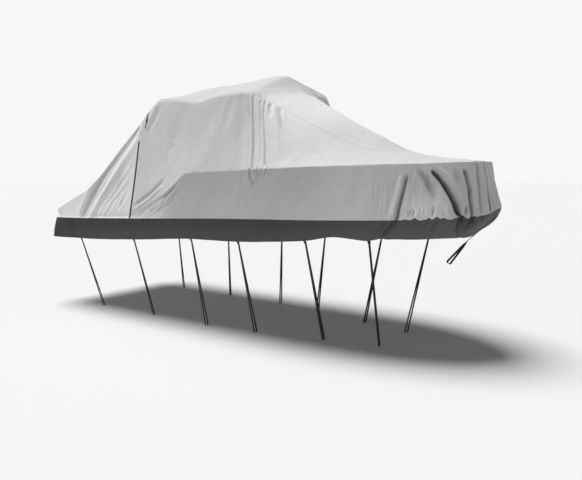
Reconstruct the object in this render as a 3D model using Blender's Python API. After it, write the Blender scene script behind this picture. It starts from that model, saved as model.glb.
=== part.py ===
"""Fitted boat cover with a raised roof, in cloth, zips and webbing.

Metres, +X towards the bow, +Y to port, +Z up. Sizes are written in the cover's own stations: x from the transom,
y from the centreline, z from the gunwale at the stern. The finished part is moved so that its origin is on the
underside of the roof, on the centreline.
"""
import math

import bmesh
import bpy
from mathutils import Vector
from mathutils.bvhtree import BVHTree

# Driving dimensions
CLOTH = 0.003            # cloth with its coating and seam allowance
SEAM_GAP = 0.0003        # between two sewn pieces
LAY_GAP = 0.0008         # between the cloth and a piece that lies on it
WEBBING_WIDTH = 0.025
WEBBING_THICK = 0.002
TAB_WIDTH = 0.038
TAB_THICK = 0.006
TAB_OVERLAP = 0.030      # tab sewn inside the hem
TAB_HANG = 0.042         # tab below the hem
TAB_BEVEL = 0.006
ZIP_WIDTH = 0.022
ZIP_THICK = 0.003
TURN_LEVEL = -1.42       # height at which the side straps turn
ORIGIN = Vector((3.0, 0.0, 2.042))   # underside of the roof's ridge
STARBOARD, PORT = -1, 1
MITER_LIMIT = 0.72        # least share of the thickness that a bend may lose before it is made up
SEAM_ORDER = Vector((1.0, 0.37, 0.61))   # direction that orders the corners of a face, the same in every piece
AFT_NORMAL = Vector((-0.8, 0.0, 0.6))    # of the cloth along the stern's gunwale
STERN_CORNER_NORMAL = (-0.7, 0.5, 0.5)   # y is outwards
STERN_SKIRT_NORMAL = (-0.7, 0.7, 0.0)
NOSE_TOP_NORMAL = Vector((1.0, 0.0, 1.0)).normalized()
STEM_NORMAL = Vector((1.0, 0.0, -0.6)).normalized()
STEM_TOP_NORMAL = Vector((1.0, 0.0, 0.2)).normalized()

# The cover's lengthwise lines. station is the distance from the transom at the gunwale, and tells which spoke of the
# cloth a row belongs to: each spoke runs hem, gunwale edge, break, shoulder, ridge.
GUNWALE = dict(
    station=(-0.05, 0.30, 1.86, 4.00, 4.86, 5.445, 5.934, 6.256, 6.495, 6.637, 6.731, 6.790),
    y=(1.17, 1.20, 1.20, 1.20, 1.167, 1.077, 0.913, 0.735, 0.529, 0.357, 0.210, 0.065),
    z=(0.000, 0.008, 0.065, 0.152, 0.174, 0.192, 0.206, 0.220, 0.229, 0.240, 0.272, 0.325),
)
HEM = dict(
    station=(-0.05, 0.10, 0.47, 1.72, 2.93, 3.78, 4.82, 5.25, 5.64, 5.80, 6.26, 6.50, 6.64, 6.70, 6.790),
    x=(-0.235, -0.02, 0.46, 1.72, 2.92, 3.77, 4.79, 5.20, 5.58, 5.72, 6.12, 6.30, 6.39, 6.42, 6.45),
    y=(1.12, 1.11, 1.085, 1.08, 1.08, 1.08, 1.05, 1.00, 0.92, 0.87, 0.69, 0.50, 0.34, 0.25, 0.06),
    z=(-0.335, -0.333, -0.322, -0.266, -0.180, -0.157, -0.088, -0.022, -0.047, -0.023, -0.013, -0.008, -0.012,
       -0.015, -0.025),
)
BREAK = dict(
    station=(-0.05, 0.05, 0.40, 1.10, 1.79, 1.95, 2.30, 2.62, 2.93, 3.71, 4.31, 4.86, 5.445, 5.93, 6.256, 6.495,
             6.637, 6.70, 6.76, 6.790),
    x=(-0.05, 0.04, 0.41, 1.11, 1.80, 1.965, 2.32, 2.64, 2.93, 3.71, 4.28, 4.80, 5.36, 5.84, 6.16, 6.40,
       6.555, 6.625, 6.65, 6.66),
    y=(1.11, 1.175, 1.19, 1.19, 1.185, 1.18, 1.165, 1.15, 1.14, 1.14, 1.138, 1.11, 1.03, 0.88, 0.72, 0.54,
       0.37, 0.255, 0.15, 0.05),
    z=(0.000, 0.025, 0.060, 0.100, 0.150, 0.190, 0.330, 0.530, 0.721, 0.753, 0.775, 0.800, 0.815, 0.825, 0.832,
       0.842, 0.849, 0.853, 0.856, 0.858),
)
SHOULDER = dict(
    station=(-0.05, 0.05, 0.18, 0.40, 0.58, 0.83, 1.10, 1.40, 1.79, 2.05, 2.40, 2.85, 3.22, 3.60, 3.85, 4.05, 4.24,
             4.50, 5.00, 5.50, 5.93, 6.26, 6.50, 6.64, 6.70, 6.790),
    x=(-0.05, -0.005, 0.13, 0.50, 0.78, 1.07, 1.29, 1.51, 1.80, 2.14, 2.50, 2.87, 3.22, 3.58, 3.78, 3.90, 4.03,
       4.24, 4.75, 5.25, 5.70, 6.05, 6.32, 6.48, 6.56, 6.645),
    y=(1.02, 1.150, 1.18, 1.155, 1.125, 1.07, 1.03, 0.975, 0.912, 0.85, 0.86, 0.865, 0.86, 0.855, 0.85, 0.845, 0.82,
       0.775, 0.66, 0.55, 0.46, 0.37, 0.27, 0.19, 0.14, 0.04),
    z=(0.000, 0.115, 0.195, 0.385, 0.52, 0.79, 1.015, 1.24, 1.53, 1.79, 1.765, 1.707, 1.763, 1.771, 1.768, 1.745,
       1.68, 1.56, 1.28, 1.05, 0.935, 0.895, 0.878, 0.868, 0.862, 0.858),
)
RIDGE = dict(
    station=(-0.05, 0.05, 0.18, 0.40, 0.58, 0.83, 1.10, 1.40, 1.79, 2.05, 2.40, 2.85, 3.22, 3.60, 3.85, 4.05, 4.24,
             4.50, 5.00, 5.50, 5.93, 6.26, 6.50, 6.64, 6.70, 6.790),
    x=(-0.05, -0.01, 0.12, 0.46, 0.75, 1.06, 1.31, 1.58, 1.89, 2.14, 2.50, 2.87, 3.22, 3.60, 3.76, 3.92, 4.08,
       4.30, 4.80, 5.30, 5.72, 6.08, 6.35, 6.50, 6.57, 6.645),
    z=(0.000, 0.040, 0.130, 0.34, 0.54, 0.83, 1.09, 1.37, 1.71, 2.000, 2.030, 2.040, 2.060, 2.090, 2.080, 1.955,
       1.825, 1.690, 1.437, 1.190, 0.985, 0.915, 0.890, 0.875, 0.866, 0.858),
)
# The port shoulder stands further out at the roof's front corner.
PORT_SHOULDER = dict(
    station=(2.85, 3.60, 3.85, 4.05, 4.24, 4.60),
    x=(0.0, 0.05, 0.12, 0.09, 0.0, 0.0),
    z=(0.0, 0.05, 0.105, 0.05, 0.0, 0.0),
)

# Spokes: stretches of the gunwale with the number of steps in each, closer where the cloth is folded.
STRETCHES = (
    dict(start=-0.05, end=0.40, steps=5),
    dict(start=0.40, end=1.79, steps=14),
    dict(start=1.79, end=2.05, steps=3),
    dict(start=2.05, end=2.93, steps=6),
    dict(start=2.93, end=3.85, steps=6),
    dict(start=3.85, end=4.62, steps=12),
    dict(start=4.62, end=5.70, steps=8),
    dict(start=5.70, end=6.70, steps=17),
    dict(start=6.70, end=6.790, steps=3),
)
NOSE_SEAM = 6.70         # station of the seam on each side of the nose
ZIP_STATION = 1.79
BESIDE_ZIP = (0.10, 0.35)   # distances from it between which folds come back
ZIP_CALM = 0.1           # share of a fold's depth that is left where the zip stiffens the cloth
FRONT_SPOKES = (0.5, 0.0)   # across the blunt nose, as a share of its half width
SKIRT_BULGE = 0.012      # cloth out of, or into, the straight line between two lines at its middle
LOWER_SAG = 0.010
UPPER_SAG = 0.022
ROOF_SAG = 0.018
STERN_SKIRT_WAVE = 0.006
SKIRT_FOLD_SHARE = 0.6   # of a fold's depth, kept in the skirt
SKIRT_COLUMNS = 3
LOWER_COLUMNS = 4
UPPER_COLUMNS = 6
TOP_COLUMNS = 10

# Folds in the side cloth, seen from the side: from (x0, z0) to (x1, z1), half width, and depth, outwards if positive.
FOLD_COLUMNS = ("x0", "z0", "x1", "z1", "width", "depth")
STARBOARD_FOLDS = (
    (1.86, 1.50, 0.50, 0.12, 0.085, -0.030),
    (1.66, 1.08, 0.70, 0.04, 0.070, -0.018),
    (1.92, 0.74, 1.25, 0.06, 0.080, -0.020),
    (2.52, 0.62, 1.82, 0.24, 0.070, -0.020),
    (2.84, 0.60, 2.05, 0.10, 0.070, -0.020),
    (3.87, 1.64, 4.06, 0.80, 0.045, -0.022),
    (4.02, 1.62, 4.25, 0.82, 0.045, -0.020),
    (4.22, 1.46, 4.46, 1.10, 0.045, -0.014),
    (6.00, 0.73, 5.93, 0.22, 0.045, -0.020),
    (5.93, 0.24, 5.64, -0.03, 0.050, -0.010),
    (6.13, 0.76, 6.33, 0.47, 0.055, -0.014),
    (6.26, 0.74, 6.50, 0.22, 0.050, -0.026),
    (6.50, 0.76, 6.60, 0.26, 0.045, -0.014),
)
PORT_FOLDS = (
    (1.84, 1.46, 0.52, 0.12, 0.085, -0.028),
    (1.90, 0.84, 1.15, 0.06, 0.080, -0.020),
    (2.70, 0.56, 1.95, 0.14, 0.075, -0.022),
    (3.88, 1.64, 4.10, 0.80, 0.045, -0.020),
    (4.08, 1.58, 4.28, 0.90, 0.050, -0.016),
    (6.06, 0.74, 5.98, 0.22, 0.050, -0.020),
    (6.30, 0.74, 6.46, 0.22, 0.055, -0.024),
)

# Side straps: where each leaves the hem, where its loop turns, and how far apart its two runs are there
STRAPS = (
    dict(station=0.47, turn_x=0.75, turn_y=0.90, apart=0.030),
    dict(station=1.73, turn_x=1.92, turn_y=0.88, apart=0.030),
    dict(station=2.93, turn_x=3.02, turn_y=0.88, apart=0.050),
    dict(station=3.79, turn_x=3.82, turn_y=0.77, apart=0.055),
    dict(station=4.83, turn_x=4.77, turn_y=0.55, apart=0.055),
    dict(station=5.66, turn_x=5.49, turn_y=0.39, apart=0.055),
)
TAB_END_SHARE = 0.8      # of a tab's width, at its two ends
BOW_STRAP_TURN = Vector((6.20, 0.0, -0.36))
BOW_STRAP_APART = 0.045
BOW_TAB_START = 2.5      # skirt column at which the bow strap's strip starts, counted up from the hem
BOW_TAB_STEP = 0.25
BOW_TAB_WIDTH = 0.030
BOW_TAB_THICK = 0.005

# Zip runs: the spoke each lies on, and its two ends in columns of the side cloth, counted up from the gunwale edge
ZIP_RUNS = (
    dict(run="lower", spoke=0, start=0.25, end=8.5),
    dict(run="upper", spoke=1, start=9.0, end=9.75),
)
ZIP_STEP = 0.25
SLIDER_SECTION = 1       # section of the upper run that the slider sits on
SEAT_REACH = 0.03        # how far from its row a strip looks for the cloth under it
SEAT_SPREAD = 0.010      # and how far along it
HEM_SHARE = 0.06         # of a column, kept above the hem
INSIDE = Vector((2.6, 0.0, 0.4))   # a point under the cloth
# Slider, then its pull, from top to bottom: distance down the zip, half width, and faces above the zip's own
SLIDER_SECTIONS = (
    dict(along=-0.016, half=0.006, low=0.0005, high=0.006),
    dict(along=-0.006, half=0.010, low=0.0005, high=0.008),
    dict(along=0.014, half=0.008, low=0.0005, high=0.007),
    dict(along=0.018, half=0.005, low=0.003, high=0.006),
    dict(along=0.055, half=0.006, low=0.001, high=0.004),
)

# Colours, roughness
CANVAS = dict(name="canvas", color=(0.56, 0.57, 0.58), roughness=0.85)
SKIRT_CANVAS = dict(name="skirt_canvas", color=(0.16, 0.16, 0.165), roughness=0.85)
WEBBING = dict(name="webbing", color=(0.02, 0.02, 0.022), roughness=0.8)
ZIP_TEETH = dict(name="zip_teeth", color=(0.05, 0.05, 0.055), roughness=0.5)
SLIDER_METAL = dict(name="slider_metal", color=(0.25, 0.25, 0.26), roughness=0.4)


def material(finish):
    mat = bpy.data.materials.get(finish["name"])
    if mat is None:
        mat = bpy.data.materials.new(finish["name"])
        mat.use_nodes = True
        shader = mat.node_tree.nodes["Principled BSDF"]
        shader.inputs["Base Color"].default_value = (*finish["color"], 1.0)
        shader.inputs["Roughness"].default_value = finish["roughness"]
        shader.inputs["Metallic"].default_value = 0.0
    return mat


def along(line, column, station):
    """Value of a line's column at a station, on a curve that never overshoots its rows."""
    keys, values = line["station"], line[column]
    station = min(max(station, keys[0]), keys[-1])
    last = len(keys) - 2
    row = next(i for i in range(last + 1) if station <= keys[i + 1] or i == last)
    slopes = [(values[i + 1] - values[i]) / (keys[i + 1] - keys[i]) for i in range(len(keys) - 1)]

    def tangent(i):
        if i == 0 or i == len(keys) - 1:
            return slopes[min(i, len(slopes) - 1)]
        before, after = slopes[i - 1], slopes[i]
        return 0.0 if before * after <= 0 else 2 * before * after / (before + after)

    width = keys[row + 1] - keys[row]
    u = (station - keys[row]) / width
    a, b = values[row], values[row + 1]
    ta, tb = tangent(row) * width, tangent(row + 1) * width
    return ((2 * u ** 3 - 3 * u ** 2 + 1) * a + (u ** 3 - 2 * u ** 2 + u) * ta
            + (3 * u ** 2 - 2 * u ** 3) * b + (u ** 3 - u ** 2) * tb)


def ease(value, low, high):
    u = min(max((value - low) / (high - low), 0.0), 1.0)
    return u * u * (3 - 2 * u)


def line_point(line, side, station):
    x = along(line, "x", station) if "x" in line else station
    y = along(line, "y", station) if "y" in line else 0.0
    point = Vector((x, side * y, along(line, "z", station)))
    if line is SHOULDER and side == PORT:
        point += Vector((along(PORT_SHOULDER, "x", station), 0.0, along(PORT_SHOULDER, "z", station)))
    return point


def slack(x, y, z):
    """Low, uneven swell of the whole cloth, a few millimetres."""
    return (0.004 * math.sin(2.3 * x + 1.1 * y + 0.7) + 0.003 * math.sin(4.9 * x - 3.1 * z + 2.0)
            + 0.003 * math.sin(3.7 * z + 2.9 * y))


def fold_depth(folds, point):
    """Sum of the folds' depths at a point of the side cloth, as seen from the side."""
    total = 0.0
    for row in folds:
        fold = dict(zip(FOLD_COLUMNS, row))
        run = Vector((fold["x1"] - fold["x0"], fold["z1"] - fold["z0"]))
        offset = Vector((point.x - fold["x0"], point.z - fold["z0"]))
        share = offset.dot(run) / run.length_squared
        across = (offset - run * min(max(share, 0.0), 1.0)).length / fold["width"]
        fade = ease(share, -0.12, 0.12) * (1 - ease(share, 0.88, 1.12))
        total += fold["depth"] * math.exp(-across * across) * fade
    return total


def bent(start, middle, end, share, softness):
    """Point on the second half of a bend: straight if softness is 0, a smooth curve through middle if it is 1."""
    straight = middle.lerp(end, share)
    tangent = (end - start) / 2
    u = share
    curved = ((2 * u ** 3 - 3 * u ** 2 + 1) * middle + (u ** 3 - 2 * u ** 2 + u) * tangent
              + (3 * u ** 2 - 2 * u ** 3) * end + (u ** 3 - u ** 2) * (end - middle))
    return straight.lerp(curved, softness)


def side_spoke(side, station):
    """Points of one spoke from the hem up to the shoulder."""
    hem, edge, crease, shoulder, ridge = (
        line_point(line, side, station) for line in (HEM, GUNWALE, BREAK, SHOULDER, RIDGE))
    points = []
    for i in range(SKIRT_COLUMNS):
        share = i / SKIRT_COLUMNS
        bulge = SKIRT_BULGE * math.sin(math.pi * share)
        points.append(hem.lerp(edge, share) + Vector((0, side * bulge, 0)))
    for i in range(LOWER_COLUMNS):
        share = i / LOWER_COLUMNS
        sag = LOWER_SAG * math.sin(math.pi * share) * ease(station, 0.1, 1.2)
        points.append(edge.lerp(crease, share) - Vector((0, side * sag, 0)))
    softness = ease(station, 3.95, 4.6) * (1 - ease(station, 6.3, 6.7))
    for i in range(UPPER_COLUMNS + 1):
        share = 1 - i / UPPER_COLUMNS
        sag = UPPER_SAG * math.sin(math.pi * share) * (1 - ease(station, 6.0, 6.6)) * ease(station, 0.1, 1.2)
        points.append(bent(ridge, shoulder, crease, share, softness) - Vector((0, side * sag, 0)))
    return points


def top_row(station):
    """Points of one spoke across the top, from the starboard shoulder to the port one."""
    ridge = line_point(RIDGE, STARBOARD, station)
    softness = ease(station, 3.95, 4.6)
    half = TOP_COLUMNS // 2
    rows = {}
    for side in (STARBOARD, PORT):
        crease = line_point(BREAK, side, station)
        shoulder = line_point(SHOULDER, side, station)
        sag = ROOF_SAG * ease(station, 1.5, 2.2) * (1 - ease(station, 3.4, 3.9))
        rows[side] = [
            bent(crease, shoulder, ridge, i / half, softness) - Vector((0, 0, sag * math.sin(math.pi * i / half)))
            for i in range(half + 1)
        ]
    return rows[STARBOARD] + rows[PORT][-2::-1]


def stations():
    values = [STRETCHES[0]["start"]]
    for stretch in STRETCHES:
        step = (stretch["end"] - stretch["start"]) / stretch["steps"]
        values += [stretch["start"] + step * (i + 1) for i in range(stretch["steps"])]
    return values


def grid_normals(grid):
    """Outward vector at each point of a grid, long enough to keep the cloth's thickness where the faces bend.

    Rows run aft to fore, and columns upwards on the starboard side.
    """
    normals = []
    for i, row in enumerate(grid):
        line = []
        for j, point in enumerate(row):
            faces = []
            for di in (-1, 1):
                for dj in (-1, 1):
                    if 0 <= i + di < len(grid) and 0 <= j + dj < len(row):
                        fore, up = (grid[i + di][j] - point) * di, (row[j + dj] - point) * dj
                        faces.append(fore.cross(up).normalized())
            normal = sum(faces, Vector()).normalized()
            line.append(normal / max(MITER_LIMIT, min(normal.dot(face) for face in faces)))
        normals.append(line)
    return normals


def whole_rows(values):
    """The cloth as one grid: a row for each station, from the starboard hem over the top to the port hem."""
    grid = []
    for station in values:
        starboard = side_spoke(STARBOARD, station)
        port = side_spoke(PORT, station)
        top = top_row(station)
        grid.append(starboard + top[1:-1] + port[::-1])
    normals = grid_normals(grid)
    shoulder_column = SKIRT_COLUMNS + LOWER_COLUMNS + UPPER_COLUMNS
    edge_column = SKIRT_COLUMNS
    last = len(grid[0]) - 1
    for i, row in enumerate(grid):
        calm = ease(i, 0, 3) * (1 - ease(i, len(grid) - 5, len(grid) - 2))
        flat_by_zip = ZIP_CALM + (1 - ZIP_CALM) * ease(abs(values[i] - ZIP_STATION), *BESIDE_ZIP)
        for j, point in enumerate(row):
            folds = STARBOARD_FOLDS if j <= last // 2 else PORT_FOLDS
            depth = slack(*point) * calm
            if min(j, last - j) <= shoulder_column:
                depth += fold_depth(folds, point) * flat_by_zip
            if min(j, last - j) < edge_column:
                depth *= SKIRT_FOLD_SHARE
            row[j] = point + normals[i][j] * depth
    return grid


def sheet(name, grid, normals, finish, inset):
    """Closed solid of the cloth's thickness under a grid. inset names the sides that leave half a seam's gap."""
    rows, columns = len(grid), len(grid[0])
    outer = [[point.copy() for point in row] for row in grid]
    half = SEAM_GAP / 2
    if "aft" in inset:
        for j in range(columns):
            outer[0][j] += (grid[1][j] - grid[0][j]).normalized() * half
    if "fore" in inset:
        for j in range(columns):
            outer[-1][j] += (grid[-2][j] - grid[-1][j]).normalized() * half
    if "low" in inset:
        for i in range(rows):
            outer[i][0] += (grid[i][1] - grid[i][0]).normalized() * half
    if "high" in inset:
        for i in range(rows):
            outer[i][-1] += (grid[i][-2] - grid[i][-1]).normalized() * half
    points = [point for row in outer for point in row]
    points += [outer[i][j] - normals[i][j] * CLOTH for i in range(rows) for j in range(columns)]
    shift = rows * columns
    faces = []

    def at(i, j):
        return i * columns + j

    for i in range(rows - 1):
        for j in range(columns - 1):
            a, b, c, d = at(i, j), at(i + 1, j), at(i + 1, j + 1), at(i, j + 1)
            if (points[a] - points[c]).length < (points[b] - points[d]).length:
                triangles = [(a, b, c), (a, c, d)]
            else:
                triangles = [(b, c, d), (b, d, a)]
            for triangle in triangles:
                faces.append(triangle)
                faces.append(tuple(shift + v for v in reversed(triangle)))
    rim = [at(0, j) for j in range(columns)] + [at(i, columns - 1) for i in range(1, rows)]
    rim += [at(rows - 1, j) for j in range(columns - 2, -1, -1)] + [at(i, 0) for i in range(rows - 2, 0, -1)]
    for a, b in zip(rim, rim[1:] + rim[:1]):
        faces += halves(points, a, b, shift + b, shift + a)
    return add_mesh(name, points, faces, finish)


def halves(points, a, b, c, d):
    """Two triangles of a rim's quad, whose diagonal leaves the same corner in both pieces that meet at a seam."""
    if points[a].dot(SEAM_ORDER) < points[b].dot(SEAM_ORDER):
        return [(a, b, c), (a, c, d)]
    return [(b, c, d), (b, d, a)]


def add_mesh(name, points, faces, finish):
    mesh = bpy.data.meshes.new(name)
    mesh.from_pydata([point - ORIGIN for point in points], [], faces)
    mesh.validate()
    mesh.materials.append(material(finish))
    obj = bpy.data.objects.new(name, mesh)
    bpy.context.collection.objects.link(obj)
    return obj


def cut(grid, normals, row_range, column_range):
    rows = range(row_range[0], row_range[1] + 1)
    columns = range(column_range[0], column_range[1] + 1)
    return [[grid[i][j] for j in columns] for i in rows], [[normals[i][j] for j in columns] for i in rows]


def nose_rows(grid):
    """Spokes round the blunt nose, from the starboard seam to the port one, hem to shoulder."""
    first = next(i for i, value in enumerate(stations()) if value > NOSE_SEAM - 1e-6)
    shoulder = SKIRT_COLUMNS + LOWER_COLUMNS + UPPER_COLUMNS
    starboard = [row[:shoulder + 1] for row in grid[first:]]
    port = [row[::-1][:shoulder + 1] for row in grid[first:]]
    end_a, end_b = starboard[-1], port[-1]
    front = []
    shares = [0.5 - share / 2 for share in FRONT_SPOKES] + [0.5 + share / 2 for share in FRONT_SPOKES[-2::-1]]
    for share in shares:
        front.append([a.lerp(b, share) for a, b in zip(end_a, end_b)])
    return starboard + front + port[::-1]


def build_cloth():
    values = stations()
    grid = whole_rows(values)
    normals = grid_normals(grid)
    edge = SKIRT_COLUMNS
    shoulder = edge + LOWER_COLUMNS + UPPER_COLUMNS
    last = len(grid[0]) - 1
    seam = next(i for i, value in enumerate(values) if value > NOSE_SEAM - 1e-6)
    end = len(values) - 1

    nose = nose_rows(grid)
    nose_normals = grid_normals(nose)
    tail = len(nose) - 1
    middle = tail // 2
    for j in range(shoulder + 1):
        nose_normals[0][j] = normals[seam][j]
        nose_normals[tail][j] = normals[seam][last - j]
    # The top panel's front edge and the nose panel's upper edge share their normals.
    front_count = end - seam
    for step in range(front_count + 1):
        nose_normals[step][shoulder] = normals[seam + step][shoulder]
        nose_normals[tail - step][shoulder] = normals[seam + step][last - shoulder]
    for i in range(front_count, tail - front_count + 1):
        nose_normals[i][shoulder] = NOSE_TOP_NORMAL
    for j in range(shoulder, last - shoulder + 1):
        normals[end][j] = NOSE_TOP_NORMAL

    # The stern: the upper cloth's aft row and the stern skirt share a straight line and its normals.
    for j in range(edge, last - edge + 1):
        normals[0][j] = AFT_NORMAL
    for side, columns in ((STARBOARD, range(edge + 1)), (PORT, range(last, last - edge - 1, -1))):
        for step, j in enumerate(columns):
            x, y, z = STERN_CORNER_NORMAL if step == edge else STERN_SKIRT_NORMAL
            normals[0][j] = Vector((x, side * y, z)).normalized()

    all_sides = ("aft", "fore", "low", "high")
    sheet("top_panel", *cut(grid, normals, (0, end), (shoulder, last - shoulder)), CANVAS, all_sides)
    sheet("side_starboard", *cut(grid, normals, (0, seam), (edge, shoulder)), CANVAS, all_sides)
    sheet("side_port", *cut(grid, normals, (0, seam), (last - shoulder, last - edge)), CANVAS, all_sides)
    sheet("nose_panel", *cut(nose, nose_normals, (0, tail), (edge, shoulder)), CANVAS, all_sides)

    # Skirts, each as far as the stem
    for j in range(edge + 1):
        nose_normals[middle][j] = STEM_TOP_NORMAL if j == edge else STEM_NORMAL
    to_stem = {STARBOARD: range(0, middle + 1), PORT: range(tail, middle - 1, -1)}
    for name, side in (("skirt_starboard", STARBOARD), ("skirt_port", PORT)):
        step = 1 if side == STARBOARD else -1
        rows = [row[::step][:edge + 1] for row in grid[:seam]] + [nose[i][:edge + 1] for i in to_stem[side]]
        row_normals = [row[::step][:edge + 1] for row in normals[:seam]]
        row_normals += [nose_normals[i][:edge + 1] for i in to_stem[side]]
        if side == STARBOARD:
            sheet(name, rows, row_normals, SKIRT_CANVAS, ("aft", "fore", "high"))
        else:   # columns run down on this side, so its seam with the upper cloth is the low one
            sheet(name, [row[::-1] for row in rows], [row[::-1] for row in row_normals], SKIRT_CANVAS,
                  ("aft", "fore", "low"))

    build_stern_skirt(grid, normals)
    return grid, nose


def build_stern_skirt(grid, normals):
    """Skirt across the transom, between the two side skirts, under the aft edge of the upper cloth."""
    edge = SKIRT_COLUMNS
    upper = grid[0][edge:-edge]
    upper_normals = normals[0][edge:-edge]
    first, second = grid[0][:edge + 1], grid[0][::-1][:edge + 1]
    width = upper[-1].y - upper[0].y
    rows, row_normals = [], []
    for point, normal in zip(upper[::-1], upper_normals[::-1]):
        share = (upper[-1].y - point.y) / width
        wave = STERN_SKIRT_WAVE * math.sin(math.pi * share * 3) * math.sin(math.pi * share)
        row = [b.lerp(a, share) - Vector((wave * (edge - j) / edge, 0, 0))
               for j, (a, b) in enumerate(zip(first[:edge], second[:edge]))]
        rows.append(row + [point])
        row_normals.append([Vector((-1, 0, 0))] * edge + [normal])
    last = len(grid[0]) - 1
    for j in range(edge):
        row_normals[0][j] = normals[0][last - j]
        row_normals[-1][j] = normals[0][j]
    sheet("skirt_stern", rows, row_normals, SKIRT_CANVAS, ("aft", "fore", "high"))


def band(name, sections, finish):
    """Closed solid through sections of four corners each, in order along it."""
    points = [corner for section in sections for corner in section]
    faces = [(0, 1, 2), (0, 2, 3)]
    for k in range(len(sections) - 1):
        for c in range(4):
            a, b = 4 * k + c, 4 * k + (c + 1) % 4
            faces += [(a, a + 4, b + 4), (a, b + 4, b)]
    end = 4 * (len(sections) - 1)
    faces += [(end, end + 2, end + 1), (end, end + 3, end + 2)]
    close_band(add_mesh(name, points, faces, finish))


def close_band(obj):
    mesh = bmesh.new()
    mesh.from_mesh(obj.data)
    bmesh.ops.recalc_face_normals(mesh, faces=mesh.faces)
    mesh.to_mesh(obj.data)
    mesh.free()


def strip(name, cloth, rows, row, places, width, thick, finish):
    """Strip laid on the cloth's outer face along a row of its points, and creased along it as the cloth is.

    cloth names the solids under the strip. places are columns of the row, and one below 0 hangs past the hem by that
    distance. Returns the two middle points of each section, under and over.
    """
    trees = []
    for piece in cloth:
        mesh = bmesh.new()
        mesh.from_mesh(bpy.data.objects[piece].data)
        trees.append(BVHTree.FromBMesh(mesh))
        mesh.free()
    points, middles = [], []
    for column in places:
        j = min(max(int(column), 0), len(rows[0]) - 2)
        share = max(column, HEM_SHARE) - j
        hang = (rows[row][0] - rows[row][1]).normalized() * max(-column, 0.0)
        aft, centre, fore = (rows[row + step][j].lerp(rows[row + step][j + 1], share) for step in (-1, 0, 1))
        up = rows[row][j + 1] - rows[row][j]
        reach = up.normalized() * SEAT_SPREAD
        normal = (fore - aft).cross(up).normalized()
        if normal.dot((centre - INSIDE)) < 0:
            normal = -normal
        low, high = [], []
        for other in (aft, None, fore):
            place = centre if other is None else centre + (other - centre).normalized() * width / 2
            starts = [place + reach * side - ORIGIN + normal * SEAT_REACH for side in (-1, -0.5, 0, 0.5, 1)]
            seats = [tree.ray_cast(start, -normal, SEAT_REACH * 2)[0] for tree in trees for start in starts]
            height = max([(seat + ORIGIN - place).dot(normal) for seat in seats if seat is not None], default=0.0)
            low.append(place + hang + normal * (height + LAY_GAP))
            high.append(place + hang + normal * (height + LAY_GAP + thick))
        points += low + high[::-1]
        middles.append((low[1], high[1]))
    faces = [(0, 1, 4), (0, 4, 5), (1, 2, 3), (1, 3, 4)]
    for k in range(len(places) - 1):
        for c in range(6):
            a, b = 6 * k + c, 6 * k + (c + 1) % 6
            faces += [(a, a + 6, b + 6), (a, b + 6, b)]
    end = 6 * (len(places) - 1)
    faces += [(end, end + 4, end + 1), (end, end + 5, end + 4)]
    faces += [(end + 1, end + 3, end + 2), (end + 1, end + 4, end + 3)]
    close_band(add_mesh(name, points, faces, finish))
    return middles


def steps_between(low, high, step):
    count = max(round((high - low) / step), 1)
    return [low + (high - low) * k / count for k in range(count + 1)]


def build_zips(grid):
    """Long lower run and short upper run of the zip in each stern quarter, and the slider near the upper run's foot."""
    first = next(i for i, value in enumerate(stations()) if value > ZIP_STATION - 1e-6)
    edge = SKIRT_COLUMNS
    for word, rows in (("starboard", grid), ("port", [line[::-1] for line in grid])):
        for part in ZIP_RUNS:
            places = steps_between(edge + part["start"], edge + part["end"], ZIP_STEP)
            middles = strip("zip_%s_%s" % (part["run"], word), ["side_" + word], rows, first + part["spoke"], places,
                            ZIP_WIDTH, ZIP_THICK, ZIP_TEETH)
        build_slider("zip_slider_" + word, middles[SLIDER_SECTION], middles[SLIDER_SECTION - 1])


def build_slider(name, seat, below):
    """Slider with its pull on the outer face of a zip, given as two of its sections."""
    centre = seat[1]
    down = (below[1] - seat[1]).normalized()
    normal = seat[1] - seat[0]
    normal = (normal - down * normal.dot(down)).normalized()
    across = down.cross(normal)
    sections = []
    for place in SLIDER_SECTIONS:
        low, high, half = normal * place["low"], normal * place["high"], across * place["half"]
        middle = centre + down * place["along"]
        sections.append([middle - half + low, middle + half + low, middle + half + high, middle - half + high])
    band(name, sections, SLIDER_METAL)


def hem_frame(rows, station):
    """Middle of the tab's place on the hem: point, direction along the hem, down the skirt and outwards."""
    values = stations()
    i = max(k for k in range(len(values) - 1) if values[k] <= station)
    a, b = rows[i][0], rows[i + 1][0]
    margin = 0.75 * TAB_WIDTH / (b - a).length
    share = min(max((station - values[i]) / (values[i + 1] - values[i]), margin), 1 - margin)
    point = a.lerp(b, share)
    fore = (b - a).normalized()
    above = rows[i][1].lerp(rows[i + 1][1], share)
    down = point - above
    down = (down - fore * down.dot(fore)).normalized()
    out = fore.cross(down)
    if out.y * point.y < 0:
        out = -out
    return point, fore, down, out


def strap_sections(path, fore, top_out, width, thick):
    """Sections of a flat band along a path whose two ends stand square to the tab above them."""
    sections = []
    half = fore * width / 2
    for k, point in enumerate(path):
        before = (path[k] - path[k - 1]).normalized() if k else None
        after = (path[k + 1] - path[k]).normalized() if k < len(path) - 1 else None
        if before is None or after is None:
            face = top_out if before is None else -top_out
            sections.append([point - half - face * thick / 2, point + half - face * thick / 2,
                             point + half + face * thick / 2, point - half + face * thick / 2])
            continue
        along_path = (before + after).normalized()
        across = (fore - along_path * fore.dot(along_path)).normalized()
        face = along_path.cross(across)
        if k == 1:
            sign = 1 if face.dot(top_out) > 0 else -1
        face = face * sign * thick / 2 / max(before.dot(along_path), 0.5)
        across = across * width / 2
        sections.append([point - across - face, point + across - face, point + across + face, point - across + face])
    return sections


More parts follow.
